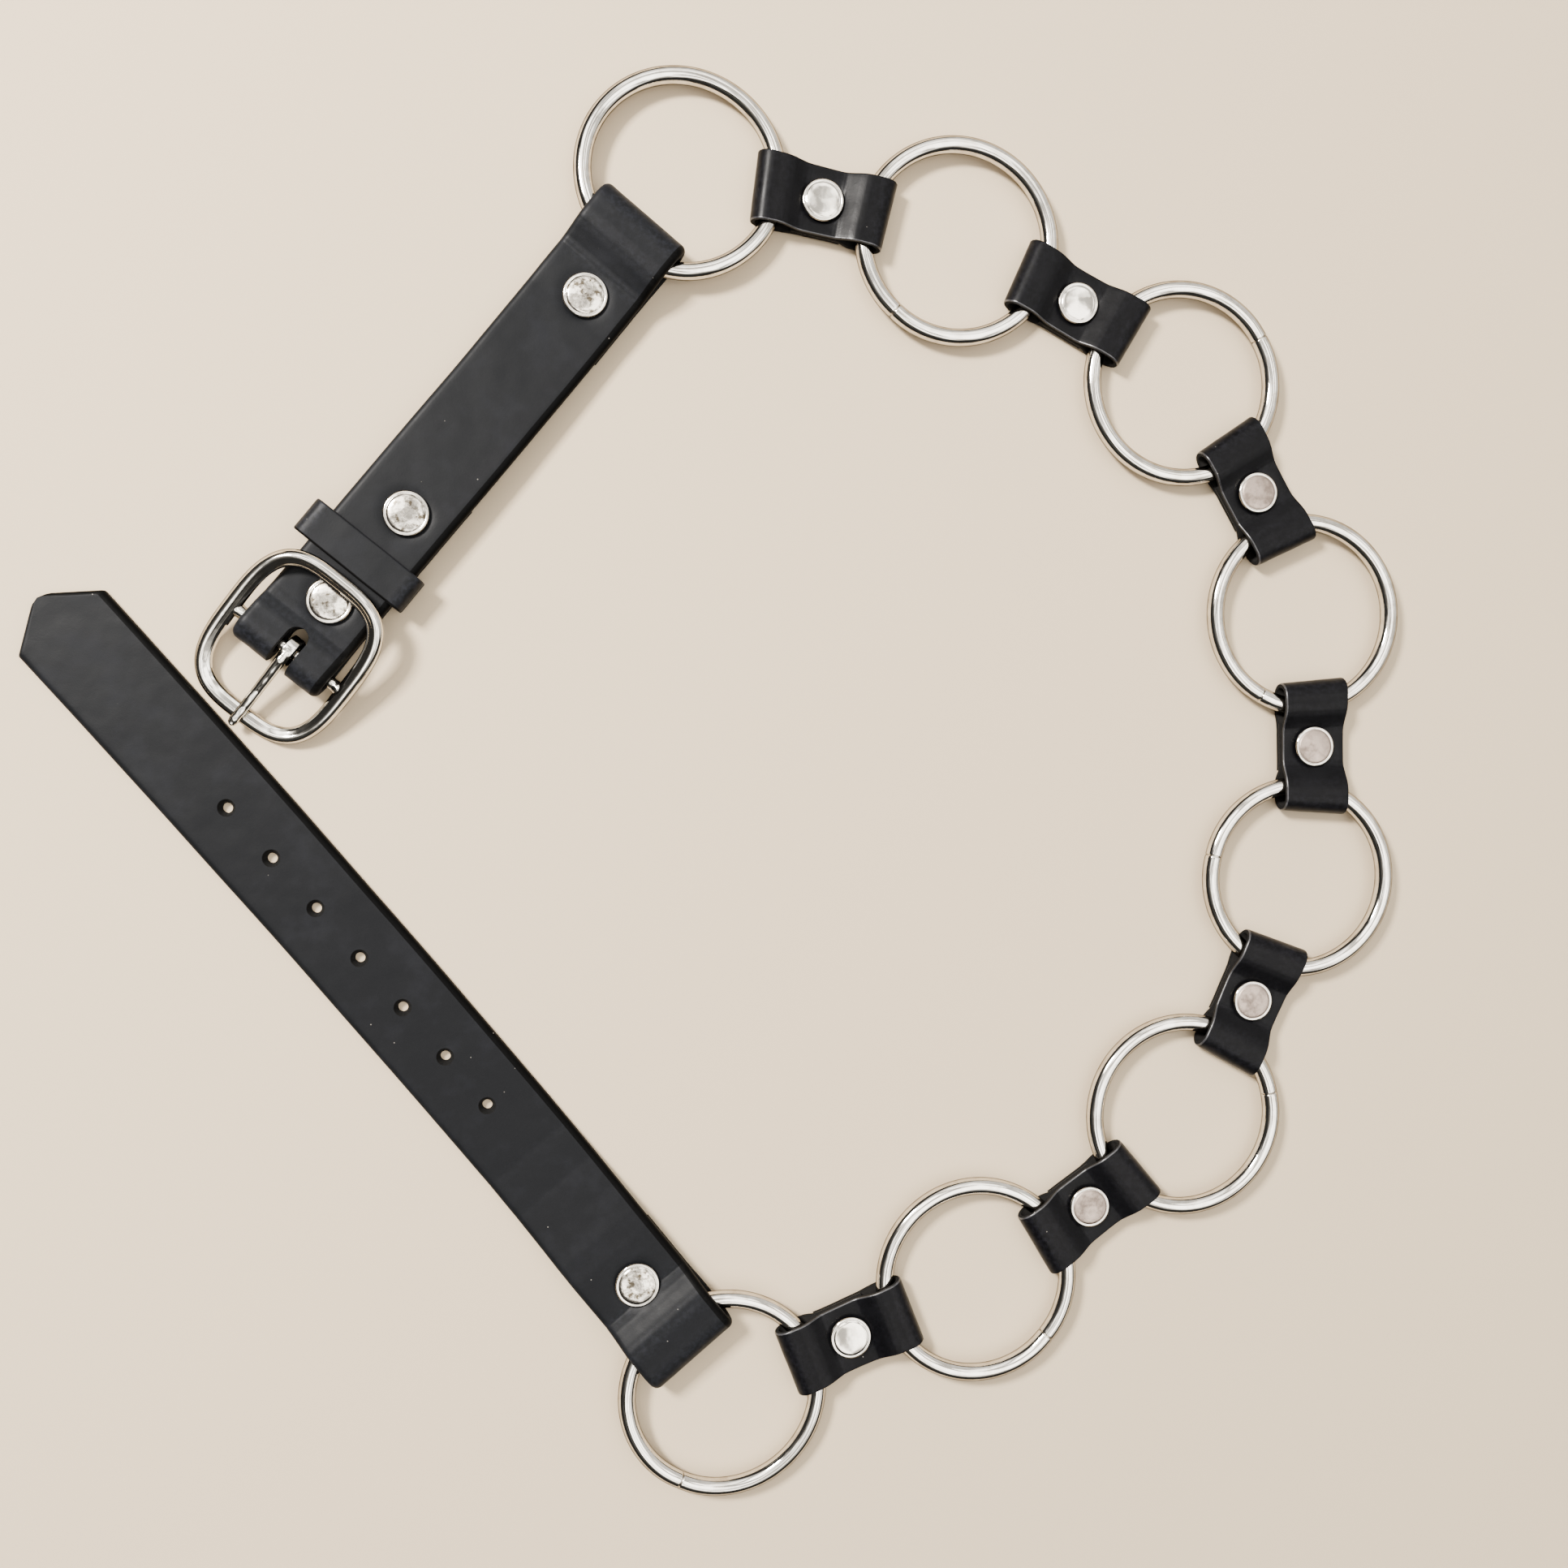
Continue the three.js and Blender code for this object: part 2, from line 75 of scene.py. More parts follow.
Point = tuple[float, float]
Object = bpy.types.Object
Material = bpy.types.Material
Socket = bpy.types.NodeSocket
Adder = Callable[..., Socket]
Surface = tuple[dict[str, object], dict[str, Socket]]


class Face(Enum):
    """The faces of a leather strip, in the order of its material slots."""

    GRAIN = 0
    BEVEL = 1
    CUT = 2
    FLESH = 3


class Body(Enum):
    """The frame's bodies that pieces ride on."""

    BELT = "belt"
    BUCKLE = "buckle"
    PRONG = "prong"


# Curves


def arc(x: float, y: float, radius: float, start: float, end: float, steps: int) -> list[Point]:
    """Returns points along an arc.

    Args:
        x: The centre's first coordinate.
        y: The centre's second coordinate.
        radius: The arc's radius.
        start: The first point's angle in degrees.
        end: The last point's angle in degrees.
        steps: How many equal steps the arc takes.

    Returns:
        One more point than there are steps.
    """
    angles = [math.radians(start + (end - start) * i / steps) for i in range(steps + 1)]
    return [(x + radius * math.cos(a), y + radius * math.sin(a)) for a in angles]


def circle(x: float, y: float, radius: float, steps: int) -> list[Point]:
    """Returns the points of a full circle, each once."""
    return arc(x, y, radius, 0, 360, steps)[:-1]


def smooth(points: Sequence[Sequence[float]], step: float, closed: bool = False) -> np.ndarray:
    """Draws a smooth curve through points and spaces new points evenly along it.

    Args:
        points: The points that the curve passes through.
        step: The wanted distance between two new points.
        closed: Whether the curve returns to its first point.

    Returns:
        The new points, one row each.
    """
    knots = np.array(points, float)
    if closed:
        knots = np.vstack([knots[-1], knots, knots[:2]])
    else:
        knots = np.vstack([2 * knots[0] - knots[1], knots, 2 * knots[-1] - knots[-2]])
    fine = []
    for a, b, c, d in zip(knots, knots[1:], knots[2:], knots[3:]):
        spans = [max(math.sqrt(np.linalg.norm(q - p)), 1e-6) for p, q in ((a, b), (b, c), (c, d))]
        inward = (c - a) / (spans[0] + spans[1]) - (b - a) / spans[0]
        outward = (d - b) / (spans[1] + spans[2]) - (d - c) / spans[2]
        start = (inward + (c - b) / spans[1]) * spans[1]
        end = (outward + (c - b) / spans[1]) * spans[1]
        for t in np.linspace(0, 1, CURVE_STEPS, endpoint=False):
            cubic = (2 * t**3 - 3 * t**2 + 1) * b + (t**3 - 2 * t**2 + t) * start
            fine.append(cubic + (3 * t**2 - 2 * t**3) * c + (t**3 - t**2) * end)
    fine.append(knots[-2])
    line = np.array(fine)
    length = np.concatenate([[0], np.cumsum(np.linalg.norm(np.diff(line, axis=0), axis=1))])
    places = np.linspace(0, length[-1], max(4, round(length[-1] / step)) + 1)
    if closed:
        places = places[:-1]
    return np.column_stack([np.interp(places, length, column) for column in line.T])


def bump_at(distance: float, width: float) -> float:
    """Returns a smooth bump of height 1 at distance 0 that fades over the width."""
    return math.exp(-((distance / width) ** 2))


def waver(along: float, across: float, seed: float, size: float) -> float:
    """Returns a smooth value near -1 to 1 that changes over about the given size."""
    return noise.noise(Vector((along / size, across / size, seed)))


# Meshes


def mesh_object(name: str, points: np.ndarray, faces: list[tuple[int, ...]]) -> Object:
    """Makes an object of points in metres and faces.

    Args:
        name: The object's name.
        points: One row for each vertex.
        faces: The vertices of each face.

    Returns:
        The object, linked to the scene.
    """
    mesh = bpy.data.meshes.new(name)
    mesh.from_pydata([tuple(p) for p in points], [], faces)
    mesh.update()
    obj = bpy.data.objects.new(name, mesh)
    bpy.context.scene.collection.objects.link(obj)
    return obj


def signed_volume(mesh: bpy.types.Mesh) -> float:
    """Returns a closed mesh's volume, negative where its faces point inwards."""
    mesh.calc_loop_triangles()
    co = np.array([v.co for v in mesh.vertices])
    triangles = co[np.array([t.vertices[:] for t in mesh.loop_triangles])]
    cross = np.cross(triangles[:, 1], triangles[:, 2])
    return float(np.einsum("ij,ij->", triangles[:, 0], cross)) / 6


def loft(name: str, rows: Sequence[Sequence[Vector]], loop: bool = False) -> Object:
    """Skins a row of closed sections that have the same number of points.

    Args:
        name: The object's name.
        rows: The sections, each a row of points in metres.
        loop: Whether the last section joins the first; if not, both ends are capped.

    Returns:
        The closed mesh as an object, with its faces pointing out.
    """
    sections = np.array(rows)
    total, count, _ = sections.shape
    faces = []
    for i in range(total if loop else total - 1):
        here, after = i * count, ((i + 1) % total) * count
        for k in range(count):
            m = (k + 1) % count
            faces.append((here + k, here + m, after + m, after + k))
    if not loop:
        faces.append(tuple(reversed(range(count))))
        faces.append(tuple((total - 1) * count + k for k in range(count)))
    obj = mesh_object(name, sections.reshape(-1, 3), faces)
    if signed_volume(obj.data) < 0:
        obj.data.flip_normals()
    return obj


def leather_cutter(name: str, rows: Sequence[Sequence[Vector]]) -> Object:
    """Skins sections as a cutter whose new faces count as cut leather."""
    cutter = loft(name, rows)
    for polygon in cutter.data.polygons:
        polygon.material_index = Face.CUT.value
    return cutter


def combine(obj: Object, tool: Object, operation: str) -> None:
    """Joins a tool to an object or cuts it out, and removes the tool.

    Args:
        obj: The object to change.
        tool: The closed object that is added or taken away.
        operation: UNION or DIFFERENCE.
    """
    modifier = obj.modifiers.new("combine", "BOOLEAN")
    modifier.object = tool
    modifier.operation = operation
    modifier.solver = "EXACT"
    graph = bpy.context.evaluated_depsgraph_get()
    made = bpy.data.meshes.new_from_object(obj.evaluated_get(graph))
    obj.modifiers.clear()
    obj.data = made
    bpy.data.objects.remove(tool)


def shade(obj: Object, degrees: float = 38) -> None:
    """Shades a mesh smooth, with the edges above the angle kept sharp."""
    obj.data.shade_smooth()
    obj.data.set_sharp_from_angle(angle=math.radians(degrees))


# Places


@dataclass(frozen=True)
class Placement:
    """A strap's own directions: along it from its first rivet, across it, and up.

    Attributes:
        x: The origin's X in the frame.
        y: The origin's Y in the frame.
        heading: The direction along the strap, in radians from +X.
    """

    x: float
    y: float
    heading: float

    def __call__(self, along: float, across: float, up: float) -> Vector:
        """Returns a place in metres, in the frame."""
        c, s = math.cos(self.heading), math.sin(self.heading)
        return Vector((self.x + along * c - across * s, self.y + along * s + across * c, up)) * MM

    def moved(self, along: float, across: float) -> "Placement":
        """Returns the same directions from another origin."""
        place = self(along, across, 0) / MM
        return Placement(place.x, place.y, self.heading)


def node_middle(node: str) -> Vector:
    """Returns the middle of a node's box in millimetres."""
    low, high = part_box(node)
    return (low + high) / 2 / MM


# Materials


def srgb(code: str) -> tuple[float, float, float, float]:
    """Turns an sRGB hex colour into the linear colour that the shaders take."""
    values = [int(code[i : i + 2], 16) / 255 for i in (1, 3, 5)]
    linear = [v / 12.92 if v <= 0.04045 else ((v + 0.055) / 1.055) ** 2.4 for v in values]
    return (*linear, 1.0)


def per_mm(size: float) -> float:
    """Returns the texture scale, on coordinates in metres, of a pattern of this size."""
    return 1 / (size * MM)


def span(low: float, high: float, start: float, end: float) -> dict[str, object]:
    """Returns the settings that map low to high onto start to end, held at the ends."""
    return {"From Min": low, "From Max": high, "To Min": start, "To Max": end, "clamp": True}


def add_node(
    tree: bpy.types.NodeTree,
    kind: str,
    output: str | int | None,
    settings: dict[str | int, object] | None = None,
    links: dict[str | int, Socket] | None = None,
) -> Socket | None:
    """Adds a node with its settings and links.

    Args:
        tree: The tree to add it to.
        kind: The node's type after its ShaderNode prefix.
        output: The name or number of the output wanted, or None where it has none.
        settings: Values of its properties, or of its inputs by name or number.
        links: Output sockets that its inputs, by name or number, take.

    Returns:
        The output wanted.
    """
    node = tree.nodes.new(f"ShaderNode{kind}")
    for key, value in (settings or {}).items():
        if isinstance(key, int) or key in node.inputs:
            node.inputs[key].default_value = value
        else:
            setattr(node, key, value)
    for key, socket in (links or {}).items():
        tree.links.new(socket, node.inputs[key])
    return None if output is None else node.outputs[output]


@dataclass(frozen=True)
class Finish:
    """One real material; each kind of finish gives its own surface.

    Attributes:
        name: The material's name.
    """

    name: str

    def surface(self, add: Adder, place: Socket) -> Surface:
        """Returns the shader's plain values and its linked inputs.

        Args:
            add: Adds a node to the material.
            place: The coordinates on the object.
        """
        raise NotImplementedError

    def material(self) -> Material:
        """Builds the material."""
        material = bpy.data.materials.new(self.name)
        material.use_nodes = True
        material.node_tree.nodes.clear()
        add = partial(add_node, material.node_tree)
        values, sockets = self.surface(add, add("TexCoord", "Object"))
        shader = add("BsdfPrincipled", "BSDF", values, sockets)
        add("OutputMaterial", None, {}, {"Surface": shader})
        return material


@dataclass(frozen=True)
class Leather(Finish):
    """Vegetable-tanned cowhide, drum-dyed black, rolled smooth and waxed.

    Attributes:
        colour: The dyed grain in plain light.
        worn: The grain where it is rubbed or stretched over a fold.
        roughness: The grain's mean roughness.
        specular: The strength of its gloss, where 0.5 is a plain dielectric.
        dust: How much of the surface carries specks of dust, from 0 to 1.
        pore: The size of the grain's pores, about twice the real one so that they show.
        crease: The size of its fine creases.
        cloud: The size of the areas that are rubbed more or less.
        speck: The spacing of the specks of dust.
    """

    colour: str
    worn: str
    roughness: float
    specular: float
    dust: float = 0.5
    pore: float = 0.35
    crease: float = 1.3
    cloud: float = 9.0
    speck: float = 3.0

    def surface(self, add: Adder, place: Socket) -> Surface:
        """Gives satin black with faint pores, creases that pale at a fold, and a few pale specks."""
        at = {"Vector": place}
        cloud = add("TexNoise", "Fac", {"Scale": per_mm(self.cloud), "Detail": 4.0, "Roughness": 0.6}, at)
        crease = add("TexNoise", "Fac", {"Scale": per_mm(self.crease), "Detail": 6.0, "Roughness": 0.65}, at)
        pores = add("TexVoronoi", "Distance", {"Scale": per_mm(self.pore)}, at)
        bend = add("Attribute", "Fac", {"attribute_name": "bend"})
        fibre = add("MapRange", "Result", span(0.42, 0.62, 0.0, 1.0), {"Value": crease})
        stretched = add("Math", "Value", {"operation": "MULTIPLY"}, {0: bend, 1: fibre})
        rubbed = add("MapRange", "Result", span(0.50, 0.72, 0.0, 0.35), {"Value": cloud})
        wear = add("Math", "Value", {"operation": "MAXIMUM"}, {0: stretched, 1: rubbed})
        grain = {"data_type": "RGBA", 6: srgb(self.colour), 7: srgb(self.worn)}
        base = add("Mix", 2, grain, {0: wear})
        dusty = {"data_type": "RGBA", 7: srgb("#77736c")}
        colour = add("Mix", 2, dusty, {0: self.dust_mask(add, at), 6: base})
        matt = span(0.3, 0.75, self.roughness - 0.07, self.roughness + 0.09)
        rough = add("MapRange", "Result", matt, {"Value": cloud})
        relief = add("Math", "Value", {"operation": "MULTIPLY_ADD", 1: 0.35}, {0: pores, 2: crease})
        bump = add("Bump", "Normal", {"Strength": 0.22, "Distance": 0.12 * MM}, {"Height": relief})
        values = {
            "IOR": 1.5, "Specular IOR Level": self.specular, "Sheen Weight": 0.01, "Sheen Roughness": 0.4
        }
        return values, {"Base Color": colour, "Roughness": rough, "Normal": bump}

    def dust_mask(self, add: Adder, at: dict[str, Socket]) -> Socket:
        """Picks out a few pale specks about 0.25 mm across, sparse and uneven.

        Args:
            add: Adds a node to the material.
            at: The link that gives a texture its coordinates.

        Returns:
            1 on a speck and 0 elsewhere.
        """
        distance = add("TexVoronoi", "Distance", {"Scale": per_mm(self.speck)}, at)
        speck = add("MapRange", "Result", span(0.035, 0.06, 1.0, 0.0), {"Value": distance})
        pick = add("SeparateColor", "Red", {}, {"Color": distance.node.outputs["Color"]})
        share = 0.3 * self.dust
        chosen = add("MapRange", "Result", span(1 - share, 1.001 - share, 0.0, 0.75), {"Value": pick})
        return add("Math", "Value", {"operation": "MULTIPLY"}, {0: speck, 1: chosen})


@dataclass(frozen=True)
class CutLeather(Finish):
    """The cut edge or back of the same hide: dyed black, with open fibres.

    Attributes:
        colour: The dyed fibres.
        fibre: The size of the fibre bundles.
        roughness: The mean roughness.
    """

    colour: str
    fibre: float
    roughness: float

    def surface(self, add: Adder, place: Socket) -> Surface:
        """Gives matt black, a little furry, so that an edge reads darker than the grain."""
        tufts = {"Scale": per_mm(self.fibre), "Detail": 5.0, "Roughness": 0.7}
        tuft = add("TexNoise", "Fac", tufts, {"Vector": place})
        pale = add("MapRange", "Result", span(0.45, 0.75, 0.0, 0.5), {"Value": tuft})
        fibres = {"data_type": "RGBA", 6: srgb(self.colour), 7: srgb("#191817")}
        colour = add("Mix", 2, fibres, {0: pale})
        bump = add("Bump", "Normal", {"Strength": 0.4, "Distance": 0.15 * MM}, {"Height": tuft})
        values = {"Roughness": self.roughness, "IOR": 1.45, "Specular IOR Level": 0.15}
        return values, {"Base Color": colour, "Normal": bump}


@dataclass(frozen=True)
class NickelPlate(Finish):
    """Bright nickel plate on steel wire or cast zinc, barrel polished.

    Attributes:
        colour: The plate's own tint, slightly warm.
        roughness: The mean roughness.
        ripple: The size of the soft ripples that the polishing leaves.
        ripple_depth: Their depth.
        scratch: The spacing of fine handling scratches, coarser than real ones so that they show.
        patch: The size of its duller patches.
        tarnish_and_reflection: Their tint: a light tarnish on most parts, a painted reflection on the rivet
            faces that take it strongly.
        tarnish_and_reflection_share: How fully they take that tint, from 0 to 1.
    """

    colour: str
    roughness: float
    ripple: float
    ripple_depth: float
    scratch: float = 0.5
    patch: float = 4.0
    tarnish_and_reflection: str = "#a2988a"
    tarnish_and_reflection_share: float = 0.4

    def surface(self, add: Adder, place: Socket) -> Surface:
        """Gives a bright mirror with a dark outline painted by a near-black edge tint, wavering reflections
        and fine scratches.
        """
        at = {"Vector": place}
        ripples = add("TexNoise", "Fac", {"Scale": per_mm(self.ripple), "Detail": 2.0}, at)
        drawn_out = {"Scale": (1.0, 0.12, 1.0), "Rotation": (0.3, 0.2, 0.7)}
        stretched = {"Vector": add("Mapping", "Vector", drawn_out, at)}
        hairs = {"Scale": per_mm(self.scratch), "Detail": 3.0, "Roughness": 0.75}
        hair = add("TexNoise", "Fac", hairs, stretched)
        haze = add("TexNoise", "Fac", {"Scale": per_mm(self.patch), "Detail": 5.0, "Roughness": 0.65}, at)
        dulling = span(0.35, 0.75, self.roughness * 0.7, self.roughness * 1.9)
        rough = add("MapRange", "Result", dulling, {"Value": haze})
        # The patches' tint is real tarnish at low shares and a painted reflection on the rivet faces that
        # take it strongly.
        tarnish_and_reflection_mask = add("MapRange", "Result", span(0.46, 0.62, 0.0, self.tarnish_and_reflection_share), {"Value": haze})
        tints = {"data_type": "RGBA", 6: srgb(self.colour), 7: srgb(self.tarnish_and_reflection)}
        tint = add("Mix", 2, tints, {0: tarnish_and_reflection_mask})
        rolling = {"Strength": 1.0, "Distance": self.ripple_depth * MM}
        soft = add("Bump", "Normal", rolling, {"Height": ripples})
        scratches = {"Strength": 0.06, "Distance": 0.02 * MM}
        fine = add("Bump", "Normal", scratches, {"Height": hair, "Normal": soft})
        # The near-black specular tint darkens the grazing reflection: a painted dark outline.
        values = {"Metallic": 1.0, "Specular Tint": srgb("#1c1b1a")}
        return values, {"Base Color": tint, "Roughness": rough, "Normal": fine}


@dataclass(frozen=True)
class PaleFloor(Finish):
    """A matt painted studio floor, pale and slightly warm."""

    name: str = "matt painted board"
    colour: str = "#a7977f"

    def surface(self, add: Adder, place: Socket) -> Surface:
        """Gives an even matt face, so that only soft shadows show on it."""
        return {"Base Color": srgb(self.colour), "Roughness": 0.85, "IOR": 1.4}, {}


@dataclass
class Palette:
    """Every finish of the belt, built once; a leather's list is in the order of Face.

    Attributes:
        strap: The straps' and the keeper's leather.
        tab: The tabs' leather.
        ring: The rings' plate.
        rivet: The rivets' plate.
        buckle: The buckle's and the prong's plate.
        strap_face_painted_reflection: The faces of the straps' rivets, mottled dark brown as a painted
            reflection.
        tab_face_painted_reflection: The dull faces of some tabs' rivets, painted grey-brown as a painted
            reflection.
    """

    strap: list[Material] = field(init=False)
    tab: list[Material] = field(init=False)
    ring: Material = field(init=False)
    rivet: Material = field(init=False)
    buckle: Material = field(init=False)
    strap_face_painted_reflection: Material = field(init=False)
    tab_face_painted_reflection: Material = field(init=False)

    def __post_init__(self) -> None:
        """Builds the materials."""
        cut = CutLeather("dyed cut leather edge", "#050505", 0.5, 0.85).material()
        back = CutLeather("dyed leather flesh side", "#100f0e", 0.9, 0.9).material()
        grain = Leather("waxed bridle leather", "#090a0c", "#141519", 0.48, 0.075).material()
        # Black-dyed edge, made darker and duller than the grain as painted shade; it sits only on the edge
        # away from the lamp.
        bevel = Leather("strap bevel with painted shade", "#020202", "#080808", 0.50, 0.03).material()
        self.strap = [grain, bevel, cut, back]
        grain = Leather("waxed tab leather", "#040405", "#0d0d10", 0.36, 0.065, pore=0.3).material()
        # Glossy burnished edge, painted paler grey than the grain as a painted highlight; it sits only on the
        # edge towards the lamp.
        bevel = Leather("glossy tab bevel with painted highlight", "#1a1a1c", "#333336", 0.30, 0.45).material()
        self.tab = [grain, bevel, cut, back]
        self.ring = NickelPlate("nickel plated steel wire", "#d9d4cb", 0.075, 7.0, 0.06).material()
        self.rivet = NickelPlate("nickel plated rivet cap", "#d9d3c8", 0.09, 4.0, 0.05).material()
        self.buckle = NickelPlate("nickel plated cast zinc", "#dad6cd", 0.070, 5.0, 0.06).material()
        # Painted reflection: the full dark brown patches stand in for the dark room and camera that these
        # domed faces mirror.
        self.strap_face_painted_reflection = NickelPlate(
            "nickel plate with painted reflection", "#cfc8bc", 0.15, 2.6, 0.10, patch=2.0, tarnish_and_reflection="#4a4338", tarnish_and_reflection_share=1.0
        ).material()
        # Rough, and painted grey-brown as a painted reflection of the dark room on these flat faces.
        self.tab_face_painted_reflection = NickelPlate(
            "dull nickel plate with painted reflection", "#8f8177", 0.40, 3.0, 0.08, tarnish_and_reflection="#6d6159", tarnish_and_reflection_share=0.8
        ).material()


def dress(obj: Object, materials: Sequence[Material], body: Body, node: str) -> None:
    """Gives a piece its materials and says what it rides on and stands for.

    Args:
        obj: The piece.
        materials: Its material slots, in order.
        body: The body that it moves with.
        node: The frame's node that it stands for.
    """
    for material in materials:
        obj.data.materials.append(material)
    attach(obj, body.value)
    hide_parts(node)
    LOG.info("%s stands for %s with %d faces", obj.name, node, len(obj.data.polygons))


# Leather


@dataclass(kw_only=True)
class Strip:
    """A flat leather strip swept along its side view.

    Attributes:
        place: The directions that it is laid out in.
        width: Its width.
        thickness: The leather's thickness.
        closed: Whether the side view is a loop.
        step: The distance between two sections.
        columns: How many faces lie across the grain side.
        bevel: How far the grain side's edges are rounded over.
    """

    place: Placement
    width: float
    thickness: float
    closed: bool = False
    step: float = 0.55
    columns: int = 26
    bevel: float = 1.9

    def side_view(self) -> list[Point]:
        """Returns lengths and heights along the middle of the thickness, with the grain on the left."""
        raise NotImplementedError

    def half_width(self, along: float) -> float:
        """Returns half the width at a length."""
        raise NotImplementedError

    def relief(self, along: float, across: float, up: float) -> float:
        """Returns how far the grain side is raised at a length, across and height."""
        raise NotImplementedError

    def shift(self, along: float) -> float:
        """Returns how far the strip's middle lies to one side at a length."""
        return 0.0

    def lay(self, along: float, across: float, up: float) -> Vector:
        """Returns the place of a length, across and height, in metres."""
        return self.place(along, across, up)

    def outline(self, half: float) -> list[tuple[float, float, Face]]:
        """Goes once round a section; its one bevel face, on the belt's inner side, takes painted shade on the
        straps and a painted highlight on the tabs.

        Args:
            half: Half the strip's width there.

        Returns:
            Each point's across and height from the middle, and the kind of the face after it.
        """
        t = self.thickness / 2
        wide = min(self.bevel, half * 0.5)
        tall = min(self.bevel * 0.8, t * 1.1)
        r = min(0.4, t * 0.5, half * 0.5)
        grain = [(x, t, Face.GRAIN) for x in np.linspace(wide - half, half - wide, self.columns + 1)]
        flesh = [(x, -t, Face.FLESH) for x in np.linspace(half - r, r - half, self.columns // 2 + 1)]
        round_over = arc(0, 0, 1, 90, 0, 5)[1:]
        # Only the minus-across bevel takes the bevel material (painted shade on the straps, a painted
        # highlight on the tabs); the other bevel stays grain.
        right_top = [(half - wide + wide * x, t - tall + tall * y, Face.GRAIN) for x, y in round_over]
        left_top = [(-x, y, Face.BEVEL) for x, y, _ in reversed(right_top)]
        right_low = [(x, y, Face.CUT) for x, y in arc(half - r, r - t, r, 0, -90, 2)[:-1]]
        left_low = [(x, y, Face.CUT) for x, y in arc(r - half, r - t, r, 270, 180, 2)[1:]]
        for run in (right_top, flesh):
            run[-1] = (*run[-1][:2], Face.CUT)
        return grain + right_top + right_low + flesh + left_low + left_top

    def sweep(self, name: str) -> Object:
        """Builds the strip, its faces sorted by Face, with an attribute that says how bent it is.

        Args:
            name: The piece's name.

        Returns:
            The strip as one closed mesh.
        """
        line = smooth(self.side_view(), self.step, self.closed)
        if self.closed:
            tangent = np.roll(line, -1, axis=0) - np.roll(line, 1, axis=0)
        else:
            tangent = np.gradient(line, axis=0)
        tangent /= np.linalg.norm(tangent, axis=1)[:, None]
        normal = np.column_stack([-tangent[:, 1], tangent[:, 0]])
        turn = np.abs(np.arctan(np.cross(tangent, np.roll(tangent, -1, axis=0))))
        window = np.ones(BEND_WINDOW) / BEND_WINDOW
        bend = np.clip(np.convolve(turn, window, mode="same") / self.step * BEND_GAIN, 0, 1)
        rows, bends = [], []
        for (along, up), out, bent in zip(line, normal, bend):
            row = []
            for across, height, _ in self.outline(self.half_width(along)):
                raised = height
                if height > 0:
                    raised += self.relief(along, across, up) * min(1.0, 2 * height / self.thickness)
                at = (along + out[0] * raised, across + self.shift(along), up + out[1] * raised)
                row.append(self.lay(*at))
                bends.append(bent)
            rows.append(row)
        obj = loft(name, rows, self.closed)
        kinds = [face for _, _, face in self.outline(self.width / 2)]
        swept = len(kinds) * (len(line) if self.closed else len(line) - 1)
        for polygon in obj.data.polygons:
            kind = kinds[polygon.index % len(kinds)] if polygon.index < swept else Face.CUT
            polygon.material_index = kind.value
        attribute = obj.data.attributes.new("bend", "FLOAT", "POINT")
        attribute.data.foreach_set("value", bends)
        shade(obj)
        return obj


@dataclass(kw_only=True)
class Strap(Strip):
    """What the two straps share: their hide, their rivets' dimples and their fold round a ring.

    Attributes:
        rivets: The rivets' places along and across.
        wire_at: The distance of the ring's wire from its rivet.
        ring_end: The distance of the ring fold's outer face from that rivet.
        under_z: The height below which a layer is the hidden one and has no relief.
        under_until: The length where that layer ends.
        seeds: The numbers that make its broad and its fine waves its own.
        turn_back: How far each turned-back end reaches past its rivet.
        stack_z: The leather's underside over a rivet's back cap on the ground.
        wire_z: The height of the ring's wire inside a fold.
        room: Half the height of a fold's inside.
        cap_radius: The radius of a rivet's front cap.
    """

    rivets: tuple[Point, ...]
    wire_at: float
    ring_end: float
    under_z: float
    under_until: float
    seeds: Point
    thickness: float = 3.0
    turn_back: float = 12.0
    stack_z: float = 1.2
    wire_z: float = 5.8
    room: float = 2.8
    cap_radius: float = 6.25

    @property
    def lower(self) -> float:
        """Returns the middle height of the lower layer under a rivet."""
        return self.stack_z + self.thickness / 2

    @property
    def upper(self) -> float:
        """Returns the middle height of the upper layer under a rivet."""
        return self.stack_z + self.thickness * 1.5

    def ring_fold(self) -> list[Point]:
        """Goes round a ring's wire, from the top layer to the bottom one.

        Returns:
            Points of distance from the rivet and height.
        """
        r = self.room + self.thickness / 2
        wire, low, top = self.wire_at, self.wire_z - r, self.wire_z + r
        rise = [(-9.2, self.upper + 0.32), (-7.0, self.upper + 1.05), (-4.8, self.upper + 2.10)]
        crest = [(-2.8, top - 1.25), (-0.8, top - 0.34), (1.4, top)]
        under = [(0.5, low), (-2.2, low + 0.15), (-4.6, self.lower - 0.35)]
        return [
            *[(wire + x, z) for x, z in rise + crest],
            *arc(self.ring_end - self.thickness - self.room, self.wire_z, r, 90, -90, 10),
            *[(wire + x, z) for x, z in under],
        ]

    def relief(self, along: float, across: float, up: float) -> float:
        """Returns the grain side's gentle waves and its dimples at the rivets."""
        if along < self.under_until and up < self.under_z:
            return 0.0
        sunk = 0.0
        for x, y in self.rivets:
            away = math.hypot(along - x, across + self.shift(along) - y)
            sunk -= 0.42 * bump_at(max(0.0, away - self.cap_radius + 0.6), 1.5)
        broad, fine = self.seeds
        return sunk + 0.10 * waver(along, across, broad, 14) + 0.05 * waver(along, across, fine, 4)


